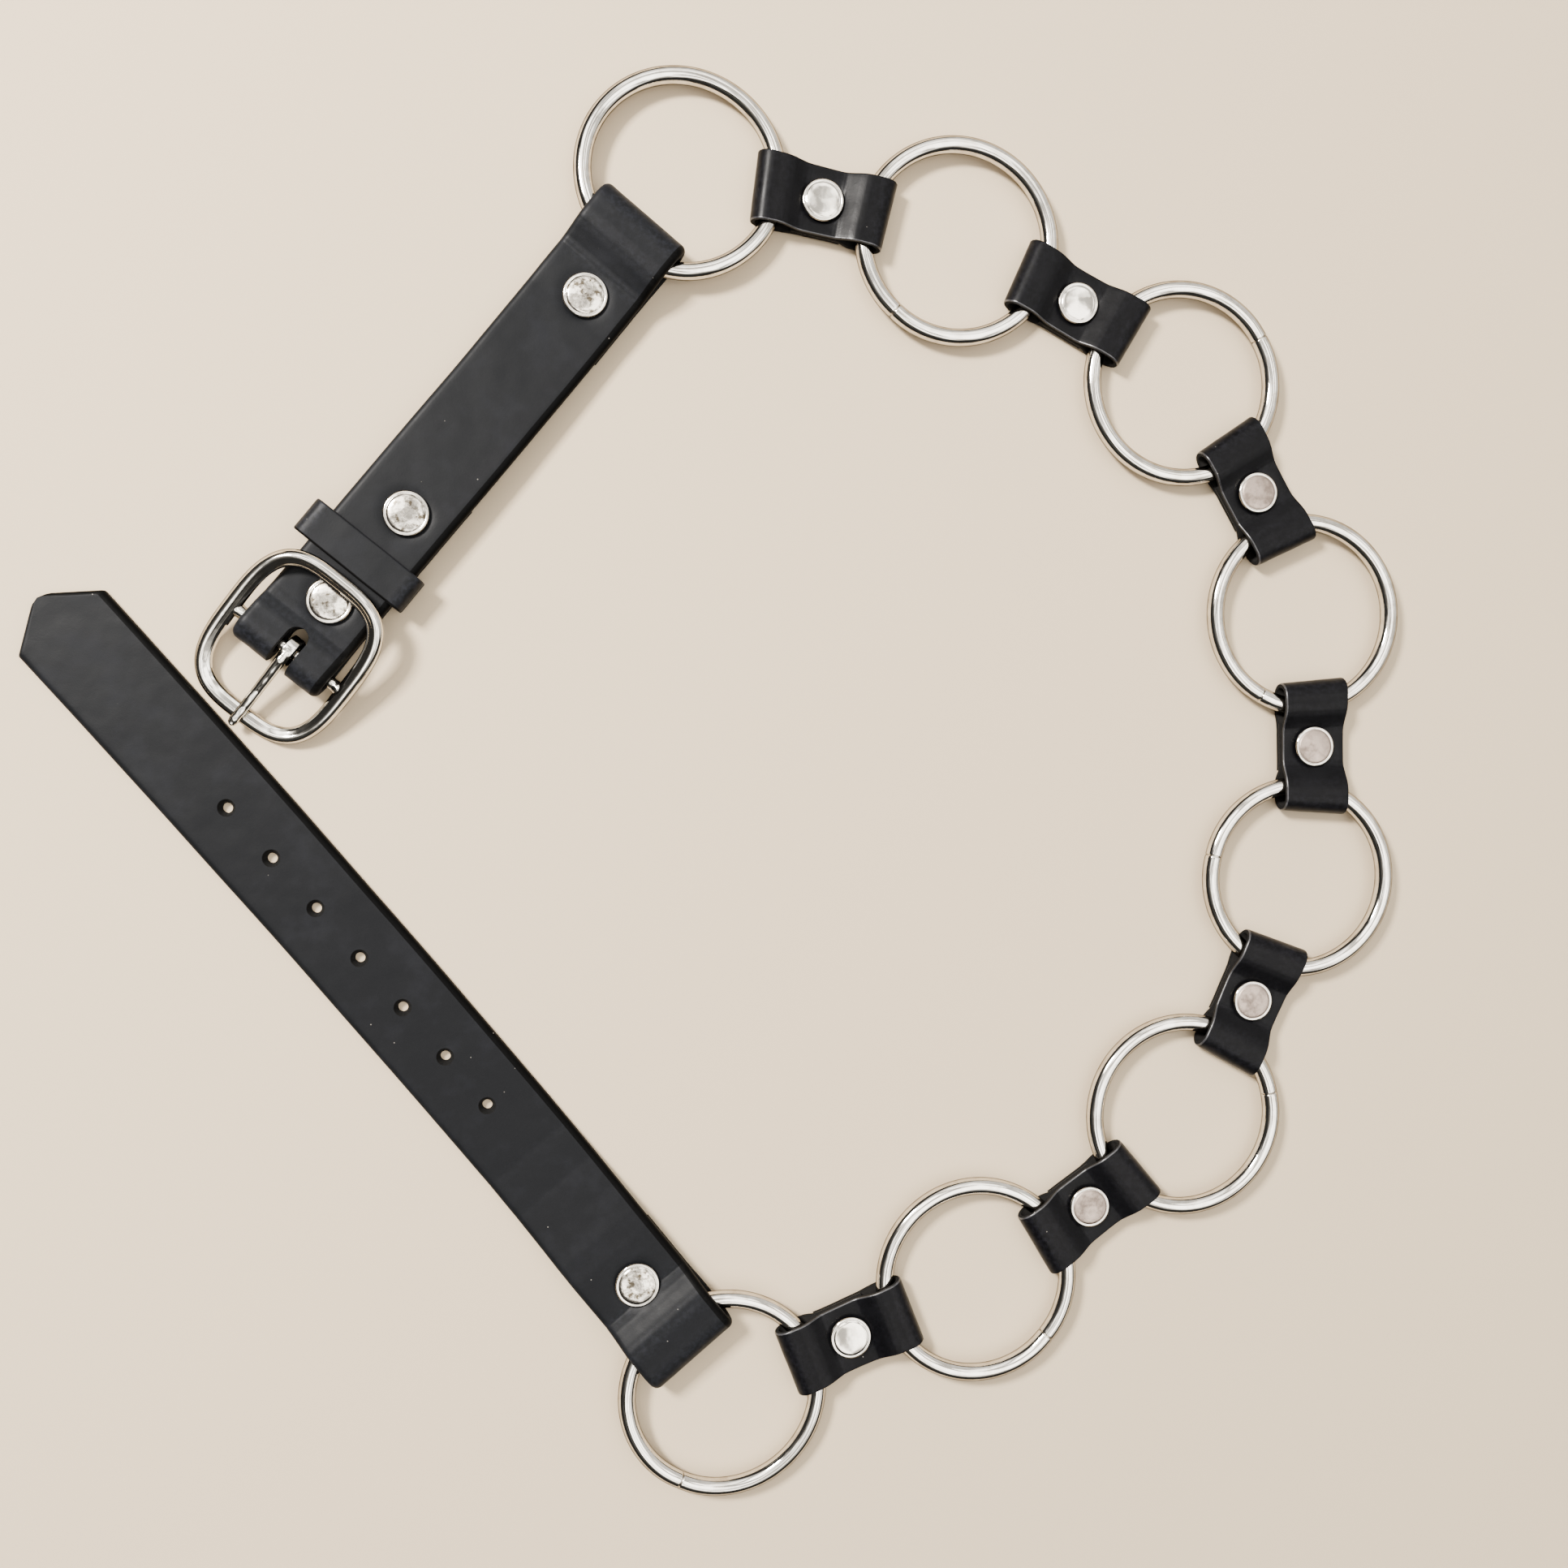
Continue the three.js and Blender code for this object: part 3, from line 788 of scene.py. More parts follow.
@dataclass(kw_only=True)
class Tongue(Strap):
    """The long strap: folded round the last ring, riveted, punched and pointed.

    Attributes:
        end: The tip's distance from the rivet.
        tip_start: Where the strap begins to narrow.
        nose_radius: The radius of the blunt tip.
        nose_turn: How far round its quarter circle the nose begins, in degrees.
        first_hole: The first hole's distance from the rivet.
        hole_pitch: The distance from hole to hole.
        hole_line: How far the holes lie beside the strap's middle.
        holes: How many there are.
        punch: The punch's heights and radii; it flares upwards to the hole's worn edge.
    """

    width: float = 28.5
    step: float = 0.5
    rivets: tuple[Point, ...] = ((0.0, 0.0),)
    wire_at: float = 13.8
    ring_end: float = 27.3
    under_z: float = 4.0
    under_until: float = 14.0
    seeds: Point = (1.7, 5.2)
    end: float = 249.0
    tip_start: float = 240.2
    nose_radius: float = 6.5
    nose_turn: float = 37.0
    first_hole: float = 65.9
    hole_pitch: float = 18.15
    hole_line: float = 0.3
    holes: int = 7
    punch: tuple[Point, ...] = ((-1.0, 1.4), (1.2, 1.4), (3.3, 2.6))

    def shift(self, along: float) -> float:
        """Returns how far the strap's middle lies to one side, because it isn't quite straight."""
        return -0.7 + 1.9 * ((along - 100) / 140) ** 2

    def half_width(self, along: float) -> float:
        """Returns half the width: even, then drawn in to the blunt tip."""
        half = self.width / 2 + 0.12 * waver(along, 0, 3.1, 30)
        if along <= self.tip_start:
            return half
        centre = self.end - self.nose_radius
        turn = math.radians(self.nose_turn)
        shoulder = centre + self.nose_radius * math.cos(turn)
        if along < shoulder:
            share = (along - self.tip_start) / (shoulder - self.tip_start)
            return half + (self.nose_radius * math.sin(turn) - half) * share
        return math.sqrt(max(0.05, self.nose_radius**2 - (along - centre) ** 2))

    def side_view(self) -> list[Point]:
        """Returns the side view, from the turned-back end to the tip."""
        lower, upper, flat = self.lower, self.upper, self.thickness / 2
        return [
            *[(self.turn_back, lower - 0.12), (7, lower), (0, lower), (-6, lower)],
            *[(-q, z) for q, z in reversed(self.ring_fold())],
            *[(-4, upper), (0, upper), (6, upper), (11, upper - 0.1), (17, upper - 0.7), (26, upper - 2.0)],
            *[(36, flat + 0.9), (48, flat + 0.06), (60, flat), (120, flat), (190, flat)],
            *[(self.end - 12 + 0.8 * i, flat) for i in range(1, 16)],
        ]

    def build(self, palette: Palette) -> None:
        """Builds the strap and punches its holes."""
        obj = self.sweep("tongue")
        for i in range(self.holes):
            along = self.first_hole + i * self.hole_pitch
            across = self.shift(along) + self.hole_line
            rows = [[self.place(x, y, z) for x, y in circle(along, across, r, 40)] for z, r in self.punch]
            combine(obj, leather_cutter("punch", rows), "DIFFERENCE")
        shade(obj)
        dress(obj, palette.strap, Body.BELT, "tongue_strap")


@dataclass(kw_only=True)
class BuckleStrap(Strap):
    """The short strap: folded round the buckle's bar at one end and the first ring at the other.

    Attributes:
        bar_at: The bar's distance from the strap's origin.
        bar_z: The bar's height.
        fold_at: The distance of the middle of the fold round the bar.
        fold_radius: That fold's outer radius.
        first_stack_z: The leather's underside at the first rivet.
        keeper_stack_z: The leather's underside at the keeper.
        keeper_from: Where the keeper begins.
        slot_width: The width of the prong's slot.
        slot_line: How far the slot lies beside the strap's origin.
        slot_end: Where the slot's round end is.
    """

    width: float = 28.1
    step: float = 0.7
    rivets: tuple[Point, ...] = ((0.6, -1.9), (32.1, -2.7), (110.2, -1.9))
    wire_at: float = 17.2
    ring_end: float = 28.8
    under_z: float = 4.5
    under_until: float = math.inf
    seeds: Point = (2.4, 6.6)
    bar_at: float = -16.5
    bar_z: float = 5.6
    fold_at: float = -17.3
    fold_radius: float = 5.4
    first_stack_z: float = 2.1
    keeper_stack_z: float = 2.4
    keeper_from: float = 10.0
    slot_width: float = 6.2
    slot_line: float = -1.8
    slot_end: float = -9.5

    def half_width(self, along: float) -> float:
        """Returns half the width, with the small waver of a hand-cut strap."""
        return self.width / 2 + 0.2 * waver(along, 0, 8.3, 25)

    def shift(self, along: float) -> float:
        """Returns how far the strap's middle lies to one side: most between the keeper and the ring."""
        return -1.0 - 0.4 * bump_at(along - 72, 40)

    def side_view(self) -> list[Point]:
        """Returns the side view, from the end turned back past the second rivet to the other end."""
        t, r = self.thickness, self.fold_radius - self.thickness / 2
        near, far = self.first_stack_z + t / 2, self.keeper_stack_z + t / 2
        keeper, bar, lower, upper = self.keeper_from, self.bar_z, self.lower, self.upper
        second, third = self.rivets[1][0], self.rivets[2][0]
        back = second + self.turn_back
        return [
            *[(back, far - 0.1), (back - 6, far), (keeper + 8, far), (keeper, far), (5, near)],
            *[(-4, near), (-7.5, near - 0.15), (-11.5, bar - r + 0.9)],
            *arc(self.fold_at, bar, r, -72, -288, 14),
            *[(-11.5, bar + r - 0.95), (-8.0, near + t + 0.45), (-4.5, near + t), (5, near + t)],
            *[(keeper, far + t), (keeper + 10, far + t), (back, far + t), (60, far + t - 0.15)],
            *[(82, upper + 0.55), (98, upper + 0.1), (104, upper)],
            *[(third + q, z) for q, z in self.ring_fold()],
            *[(third + 5, lower), (third, lower), (third - 6, lower), (third - self.turn_back, lower - 0.1)],
        ]

    def build(self, palette: Palette) -> None:
        """Builds the strap and cuts the prong's slot through its fold."""
        obj = self.sweep("buckle_belting")
        half, past_fold = self.slot_width / 2, self.bar_at - 9
        plan = [
            (past_fold, self.slot_line - half),
            *arc(self.slot_end - half, self.slot_line, half, -90, 90, 18),
            (past_fold, self.slot_line + half),
        ]
        rows = [[self.place(x, y, z) for x, y in plan] for z in (-2, 20)]
        combine(obj, leather_cutter("slot_cutter", rows), "DIFFERENCE")
        shade(obj)
        dress(obj, palette.strap, Body.BELT, "buckle_strap")


@dataclass(kw_only=True)
class Keeper(Strip):
    """The leather band beside the buckle, a closed strip whose length runs across the strap.

    Attributes:
        start: Where it begins along the buckle strap.
        reach: The band's outer width across the strap.
        top: Its height.
        corner: The outer radius of its corners.
    """

    width: float = 10.5
    thickness: float = 2.1
    closed: bool = True
    columns: int = 14
    bevel: float = 0.6
    start: float = 10.0
    reach: float = 35.8
    top: float = 10.8
    corner: float = 3.4

    def lay(self, along: float, across: float, up: float) -> Vector:
        """Returns the place of a length, which runs across the strap."""
        return self.place(self.start + self.width / 2 + across, along, up)

    def half_width(self, along: float) -> float:
        """Returns half the width, with the small waver of a hand-cut band."""
        return self.width / 2 + 0.1 * waver(along, 0, 9.7, 12)

    def relief(self, along: float, across: float, up: float) -> float:
        """Returns the small waves of its upper side."""
        return 0.07 * waver(across, along, 4.4, 6) if up > 2 else 0.0

    def side_view(self) -> list[Point]:
        """Returns the band's closed line round the doubled strap."""
        half = (self.reach - self.thickness) / 2
        low, high = self.thickness / 2, self.top - self.thickness / 2
        r = self.corner - self.thickness / 2
        return [
            *arc(r - half, low + r, r, 270, 180, 5),
            *arc(r - half, high - r, r, 180, 90, 5),
            *[(-6, high + 0.12), (6, high + 0.12)],
            *arc(half - r, high - r, r, 90, 0, 5),
            *arc(half - r, low + r, r, 0, -90, 5),
            *[(6, low), (-6, low)],
        ]

    def build(self, palette: Palette) -> None:
        """Builds the band."""
        dress(self.sweep("keeper_band"), palette.strap, Body.BELT, "keeper")


@dataclass(kw_only=True)
class Tab(Strip):
    """A strip wrapped round two rings, with its ends overlapped on the back under the rivet.

    Attributes:
        number: Which tab it is, counted from the buckle strap.
        splay: How much longer its outer edge is than its middle, as a share.
        length: Its length over both folds.
        wire_z: The height of the rings' wire.
        stack_z: The leather's underside over the rivet's back cap.
        waist: How far each edge is drawn in at the rivet.
        fold_radius: The radius of its folds at the middle of the thickness.
        cap_radius: The radius of the rivet's front cap.
    """

    number: int
    splay: float
    width: float = 19.7
    thickness: float = 1.45
    columns: int = 18
    bevel: float = 0.4
    length: float = 39.6
    wire_z: float = 4.3
    stack_z: float = 1.2
    waist: float = 0.25
    fold_radius: float = 3.55
    cap_radius: float = 6.0

    def half_width(self, along: float) -> float:
        """Returns half the width, drawn in at the rivet."""
        share = along / (self.length / 2)
        half = self.width / 2 - self.waist * max(0.0, 1 - share**2)
        return half + 0.14 * waver(along, 0, 11.0 + self.number, 9)

    def relief(self, along: float, across: float, up: float) -> float:
        """Returns the upper side's small waves and its dimple at the rivet."""
        if up < 2:
            return 0.0
        away = math.hypot(along, across) - self.cap_radius + 0.4
        sunk = 0.3 * bump_at(max(0.0, away), 1.0) if up > 4.4 else 0.0
        return 0.07 * waver(along, across, 20.0 + self.number, 5) - sunk

    def lay(self, along: float, across: float, up: float) -> Vector:
        """Returns a place with the outer edge drawn out round its rings."""
        return self.place(along * (1 + self.splay * 2 * across / self.width), across, up)

    def side_view(self) -> list[Point]:
        """Returns the side view, from the outer end on the back to the inner one."""
        outer = self.stack_z + self.thickness / 2
        inner = outer + self.thickness
        top, r = inner + self.thickness, self.fold_radius
        centre = self.length / 2 - r - self.thickness / 2
        low, high = self.wire_z - r, self.wire_z + r
        shoulder = [(12.4, high), (11.0, high - 0.2), (9.6, high - 0.75), (8.3, high - 1.45)]
        shoulder += [(7.0, high - 2.15), (5.8, top + 0.3), (4.4, top + 0.05)]
        return [
            *[(7.4, outer), (3, outer), (-5.5, outer), (-7.6, outer - 0.25), (-9.6, low + 0.3), (-11.6, low)],
            *arc(-centre, self.wire_z, r, -90, -270, 10),
            *[(-x, z) for x, z in shoulder],
            *[(-2, top), (2, top)],
            *reversed(shoulder),
            *arc(centre, self.wire_z, r, 90, -90, 10),
            *[(11.8, low), (10.2, low + 0.2), (9.0, low + 1.0), (8.0, inner - 0.75), (6.8, inner - 0.1)],
            *[(4.5, inner), (-2, inner), (-7.4, inner)],
        ]

    def build(self, palette: Palette) -> None:
        """Builds the tab."""
        obj = self.sweep(f"link_tab_{self.number}")
        dress(obj, palette.tab, Body.BELT, f"tab_{self.number}")


# Metal


@dataclass
class Ring:
    """A ring bent from round wire, with its two ends butted together.

    Attributes:
        number: Which ring it is, counted from the buckle strap.
        seam: The direction of the butt joint, in degrees from +X.
        mean_radius: The radius to the middle of the wire.
        wire_radius: The wire's own radius.
        seam_depth: The depth of the groove at the joint.
        seam_width: How far the groove spreads.
        pinch: How much thinner the wire is beside the joint, and over what length.
        flat: How much flatter the ring is beside the joint, and over what length.
        sides: The faces round the wire.
    """

    number: int
    seam: float
    mean_radius: float = 27.5
    wire_radius: float = 2.5
    seam_depth: float = 0.28
    seam_width: float = 0.16
    pinch: Point = (0.04, 3.0)
    flat: Point = (0.10, 4.0)
    sides: int = 32

    def plane(self) -> tuple[Vector, Matrix]:
        """Returns the ring's centre in millimetres and its tilt, from the frame's own ring."""
        mesh = bpy.data.objects[f"ring_{self.number}"].data
        points = np.array([v.co for v in mesh.vertices]) / MM
        centre = points.mean(axis=0)
        _, _, axes = np.linalg.svd(points - centre, full_matrices=False)
        normal = Vector(axes[2] if axes[2][2] > 0 else -axes[2])
        return Vector(centre), normal.to_track_quat("Z", "Y").to_matrix()

    def angles(self) -> np.ndarray:
        """Returns the sections' angles from the seam, closer together beside it."""
        near = np.radians([0.12, 0.3, 0.55, 1.0, 1.8])
        clear = math.radians(3.2)
        far = np.linspace(clear, FULL_TURN - clear, 170)
        return np.concatenate([[0.0], near, far, FULL_TURN - near[::-1]])

    def build(self, palette: Palette) -> None:
        """Builds the ring, a groove at its seam, and the slight flat that bending leaves beside it."""
        centre, tilt = self.plane()
        rows = []
        for angle in self.angles():
            away = min(angle, FULL_TURN - angle) * self.mean_radius
            wire = self.wire_radius - self.seam_depth * bump_at(away, self.seam_width)
            wire -= self.pinch[0] * bump_at(away, self.pinch[1])
            mean = self.mean_radius - self.flat[0] * bump_at(away, self.flat[1])
            turned = angle + math.radians(self.seam)
            c, s = math.cos(turned), math.sin(turned)
            section = circle(mean, 0, wire, self.sides)
            rows.append([(centre + tilt @ Vector((x * c, x * s, z))) * MM for x, z in section])
        obj = loft(f"wire_ring_{self.number}", rows, loop=True)
        shade(obj, 60)
        dress(obj, [palette.ring], Body.BELT, f"ring_{self.number}")


@dataclass
class Rivet:
    """A two-cap rivet: a domed front cap with a rolled rim, a post and a flat back cap.

    Attributes:
        node: The frame's node that it stands for.
        cap_radius: The front cap's radius.
        grip: The thickness of leather that it holds.
        seed: A number that makes its small dents its own.
        doming: The height of the face's crown above its groove.
        back_thickness: The back cap's thickness.
        post_radius: The post's radius.
        gap: The room above and below the leather.
        rim: The radius of the rolled rim.
        face_share: The face's radius, as a share of the cap's.
        sides: The faces round it.
    """

    node: str
    cap_radius: float
    grip: float
    seed: float
    doming: float
    back_thickness: float = 0.9
    post_radius: float = 1.9
    gap: float = 0.3
    rim: float = 0.55
    face_share: float = 0.855
    sides: int = 96

    def profile(self) -> list[Point]:
        """Returns the turned outline, from the middle of the back cap to the top of the dome."""
        r, back, post, rim = self.cap_radius, self.back_thickness, self.post_radius, self.rim
        under = back + self.grip + 2 * self.gap - 0.22
        face, groove = r * self.face_share, under + 1.02
        top = groove + 0.20
        return [
            *[(0.01, 0), (r - 1.3, 0)],
            *arc(r - 0.85, 0.35, 0.35, -90, 90, 6),
            *[(r - 1.2, back), (post, back), (post, under), (r - 0.7, under)],
            *arc(r - rim, under + rim, rim, -80, 110, 10),
            *[(face + 0.10, groove + 0.02), (face, groove), (face - 0.16, groove + 0.06), (face - 0.34, top)],
            *[(face * q, top + self.doming * (1 - q**2)) for q in (0.85, 0.7, 0.5, 0.3, 0.12)],
            (0.01, top + self.doming),
        ]

    def build(self, metal: Material, face: Material) -> None:
        """Builds the rivet where the frame has it, with a face that isn't quite true.

        Args:
            metal: The material of its rolled rim and back.
            face: The material of the face inside the rim's groove.
        """
        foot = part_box(self.node)[0].z / MM
        middle = node_middle(self.node)
        rows = []
        for radius, height in self.profile():
            dented = height > self.grip and radius < self.cap_radius - 0.3
            row = []
            for x, y in circle(0, 0, radius, self.sides):
                dent = 0.05 * waver(x, y, self.seed, 3.5) if dented else 0
                row.append(Vector((middle.x + x, middle.y + y, foot + height + dent)) * MM)
            rows.append(row)
        obj = loft(f"cap_{self.node}", rows)
        for polygon in obj.data.polygons:
            out = polygon.center / MM - middle
            inside = math.hypot(out.x, out.y) < self.cap_radius * self.face_share
            polygon.material_index = int(inside and polygon.center.z / MM > foot + self.grip)
        shade(obj, 35)
        dress(obj, [metal, face], Body.BELT, self.node)


@dataclass
class Buckle:
    """The centre-bar buckle and its prong.

    Attributes:
        place: The buckle strap's directions.
        strap: The strap that it hangs on.
        length: The frame's length along the strap.
        breadth: Its breadth.
        band: The width of its rim.
        half_thick: Half the rim's thickness.
        over_bar: How far the rim lies above the bar.
        past_bar: How far the frame's middle lies past the bar.
        tilt: How far the frame leans on the strap's fold, in degrees.
        offset: How far it lies beside the strap's origin.
        bar_radius: The bar's radius.
        eye_radius: The outer radius of the prong's eye.
        eye_width: The eye's width.
        eye_edge: The radius of the eye's edges.
        prong_line: How far the prong lies beside the strap's origin.
        notch: The room round the prong where it rests on the rim.
        stations: The prong's places along the strap, heights and radii, from its root to its point.
    """

    place: Placement
    strap: BuckleStrap
    length: float = 50.5
    breadth: float = 42.4
    band: float = 4.9
    half_thick: float = 1.7
    over_bar: float = 1.6
    past_bar: float = 0.75
    tilt: float = 13.5
    offset: float = -1.4
    bar_radius: float = 1.75
    eye_radius: float = 4.35
    eye_width: float = 3.4
    eye_edge: float = 0.5
    prong_line: float = -2.0
    notch: float = 0.3
    stations: tuple[tuple[float, float, float], ...] = (
        (-16.0, 8.8, 1.0), (-18.0, 8.85, 1.45), (-20.0, 8.7, 1.6), (-24.4, 7.5, 1.5), (-30.4, 5.9, 1.45),
        (-36.3, 4.95, 1.45), (-40.6, 4.7, 1.42), (-41.8, 4.65, 1.15), (-42.3, 4.62, 0.4),
    )

    def in_frame(self, x: float, y: float, z: float) -> Vector:
        """Places a point of the tilted buckle, given from its bar's middle."""
        c, s = math.cos(math.radians(self.tilt)), math.sin(math.radians(self.tilt))
        along, up = self.strap.bar_at + x * c - z * s, self.strap.bar_z + x * s + z * c
        return self.place(along, self.offset + y, up)

    def oval(self, inset: float, power: float, angle: float) -> Point:
        """Returns a point of a flattened oval.

        Args:
            inset: How far it lies inside the frame's outline.
            power: How square it is, where 2 is a plain ellipse.
            angle: The point's direction.
        """
        c, s = math.cos(angle), math.sin(angle)
        x, y = math.copysign(abs(c) ** (2 / power), c), math.copysign(abs(s) ** (2 / power), s)
        return (self.length / 2 - inset) * x, (self.breadth / 2 - inset) * y

    def rim_section(self) -> np.ndarray:
        """Returns the rim's cross-section: a round crest near its outside and a long inner slope."""
        crest = [(0.0, -0.35), (0.01, 0.05), (0.07, 0.40), (0.18, 0.76), (0.31, 0.96), (0.42, 1.0)]
        slope = [(0.52, 0.92), (0.62, 0.74), (0.80, 0.47), (0.93, 0.20), (1.0, -0.25)]
        under = [(0.95, -0.78), (0.75, -1.0), (0.25, -1.0), (0.06, -0.8)]
        points = [(x * self.band, z * self.half_thick) for x, z in crest + slope + under]
        return smooth(points, 0.25, closed=True)

    def rim(self) -> Object:
        """Builds the rim."""
        section, steps = self.rim_section(), 200
        rows = []
        for i in range(steps):
            angle = FULL_TURN * i / steps
            ox, oy = self.oval(0, 3.1, angle)
            ix, iy = self.oval(self.band, 3.7, angle)
            row = []
            for wide, z in section:
                x, y = ox + (ix - ox) * wide / self.band, oy + (iy - oy) * wide / self.band
                row.append(self.in_frame(self.past_bar + x, y, self.over_bar + z))
            rows.append(row)
        return loft("buckle_rim", rows, loop=True)

    def bar(self) -> Object:
        """Builds the centre bar, with the casting lumps where it meets the rim."""
        half = (self.breadth - self.band) / 2
        rows = []
        for y in np.linspace(-half, half, 60):
            swell = 0.35 * bump_at(half - 1.6 - abs(y), 1.3)
            section = circle(0, 0, self.bar_radius + swell, 24)
            rows.append([self.in_frame(x, y, z + swell) for x, z in section])
        return loft("buckle_bar", rows)

    def prong_rod(self, extra: float) -> Object:
        """Builds the prong's arm.

        Args:
            extra: How much thicker than the arm it is, for the notch that it rests in.

        Returns:
            The rod.
        """
        line = smooth(self.stations, 0.45)
        slope = np.gradient(line[:, :2], axis=0)
        rows = []
        for (along, z, radius), (run, rise) in zip(line, slope):
            lean = math.atan2(rise, run) + math.pi / 2
            cast = radius * (1 + 0.10 * waver(along, 0, 50.0, 2.5)) + extra
            row = []
            for wide, high in circle(0, 0, cast, 24):
                flat = 0.92 * high
                at = along + flat * math.cos(lean), self.prong_line + wide, z + flat * math.sin(lean)
                row.append(self.place(*at))
            rows.append(row)
        return loft("prong_arm", rows)

    def eye(self) -> Object:
        """Builds the prong's eye, a rounded band round the bar."""
        inner, edge = self.bar_radius + 0.3, self.eye_edge
        middle = (inner + self.eye_radius) / 2
        out, side = (self.eye_radius - inner) / 2 - edge, self.eye_width / 2 - edge
        outline = [
            *arc(out, side, edge, 0, 90, 4),
            *arc(-out, side, edge, 90, 180, 4),
            *arc(-out, -side, edge, 180, 270, 4),
            *arc(out, -side, edge, 270, 360, 4),
        ]
        rows = []
        for x, z in circle(0, 0, 1, 64):
            row = []
            for past, beside in outline:
                along, up = self.strap.bar_at + (middle + past) * x, self.strap.bar_z + (middle + past) * z
                row.append(self.place(along, self.prong_line + beside, up))
            rows.append(row)
        return loft("prong_eye", rows, loop=True)

    def build(self, palette: Palette) -> None:
        """Builds the buckle and the prong as two pieces."""
        rim = self.rim()
        combine(rim, self.bar(), "UNION")
        combine(rim, self.prong_rod(self.notch), "DIFFERENCE")
        shade(rim, 34)
        dress(rim, [palette.buckle], Body.BUCKLE, "buckle_frame")
        prong = self.prong_rod(0.0)
        prong.name = "buckle_prong"
        combine(prong, self.eye(), "UNION")
        shade(prong, 45)
        dress(prong, [palette.buckle], Body.PRONG, "prong")


# The whole belt and its setting


@dataclass
class RingBelt:
    """The belt: its rings and tabs in order, and the two straps at its ends.

    Attributes:
        ring_seams: The direction of each ring's butt joint, in degrees from +X.
        tab_turns: How far each tab is turned from the line of its rings, in degrees.
        tab_splays: How much each tab's outer edge is drawn out, as a share.
        dull_painted_reflection_tab_rivets: The tabs whose rivets have dull faces, painted grey-brown as a
            painted reflection.
        strap_grip: The leather under a strap's rivet.
        tab_grip: The leather under a tab's rivet.
        strap_doming: The crown of a strap's rivet.
        tab_doming: The crown of a tab's rivet.
        buckle_heading: The buckle strap's direction, in degrees from +X.
        tongue_heading: The tongue's direction, in degrees from +X.
    """

    ring_seams: tuple[float, ...] = (118.0, 48.5, -149.8, 61.0, 166.3, 12.0, -39.6, -156.0)
    tab_turns: tuple[float, ...] = (0.0, 2.0, 0.0, 1.5, 2.0, -1.0, 0.0)
    tab_splays: tuple[float, ...] = (0.03, 0.03, 0.04, 0.04, 0.04, 0.04, 0.0)
    dull_painted_reflection_tab_rivets: tuple[int, ...] = (3, 4, 5, 6)
    strap_grip: float = 6.0
    tab_grip: float = 4.5
    strap_doming: float = 0.55
    tab_doming: float = 0.3
    buckle_heading: float = 51.0
    tongue_heading: float = 129.4

    def build(self, palette: Palette) -> None:
        """Builds every piece."""
        for number, seam in enumerate(self.ring_seams, 1):
            Ring(number, seam).build(palette)
        for number in range(1, len(self.ring_seams)):
            self.build_tab(number, palette)
        foot = node_middle("buckle_strap_rivet_1")
        along, across = BuckleStrap.rivets[0]
        place = Placement(foot.x, foot.y, math.radians(self.buckle_heading)).moved(-along, -across)
        strap = BuckleStrap(place=place)
        strap.build(palette)
        Keeper(place=place).build(palette)
        Buckle(place, strap).build(palette)
        foot = node_middle("tongue_rivet")
        Tongue(place=Placement(foot.x, foot.y, math.radians(self.tongue_heading))).build(palette)
        strap_rivets = [f"buckle_strap_rivet_{i}" for i in (1, 2, 3)] + ["tongue_rivet"]
        for seed, node in enumerate(strap_rivets, 30):
            rivet = Rivet(node, Strap.cap_radius, self.strap_grip, float(seed), self.strap_doming)
            rivet.build(palette.rivet, palette.strap_face_painted_reflection)

    def build_tab(self, number: int, palette: Palette) -> None:
        """Builds a tab between two rings, and its rivet."""
        way = node_middle(f"ring_{number + 1}") - node_middle(f"ring_{number}")
        heading = math.atan2(way.y, way.x) + math.radians(self.tab_turns[number - 1])
        foot = node_middle(f"tab_rivet_{number}")
        place = Placement(foot.x, foot.y, heading)
        Tab(place=place, number=number, splay=self.tab_splays[number - 1]).build(palette)
        rivet = Rivet(f"tab_rivet_{number}", Tab.cap_radius, self.tab_grip, 40.0 + number, self.tab_doming)
        rivet.build(palette.rivet, palette.tab_face_painted_reflection if number in self.dull_painted_reflection_tab_rivets else palette.rivet)


@dataclass(frozen=True)
class SoftLight:
    """A large soft lamp.

    Attributes:
        name: The lamp's name.
        place: Where it hangs, in metres.
        size: Its width and height in metres.
        power: Its power in watts.
        colour: Its colour.
    """

    name: str
    place: tuple[float, float, float]
    size: tuple[float, float]
    power: float
    colour: str

    def build(self) -> None:
        """Hangs the lamp so that it shines at the middle of the belt."""
        data = bpy.data.lights.new(self.name, "AREA")
        data.shape = "RECTANGLE"
        data.size, data.size_y = self.size
        data.energy = self.power
        data.color = srgb(self.colour)[:3]
        lamp = bpy.data.objects.new(self.name, data)
        lamp.location = self.place
        lamp.rotation_euler = (-Vector(self.place)).to_track_quat("-Z", "Y").to_euler()
        bpy.context.scene.collection.objects.link(lamp)


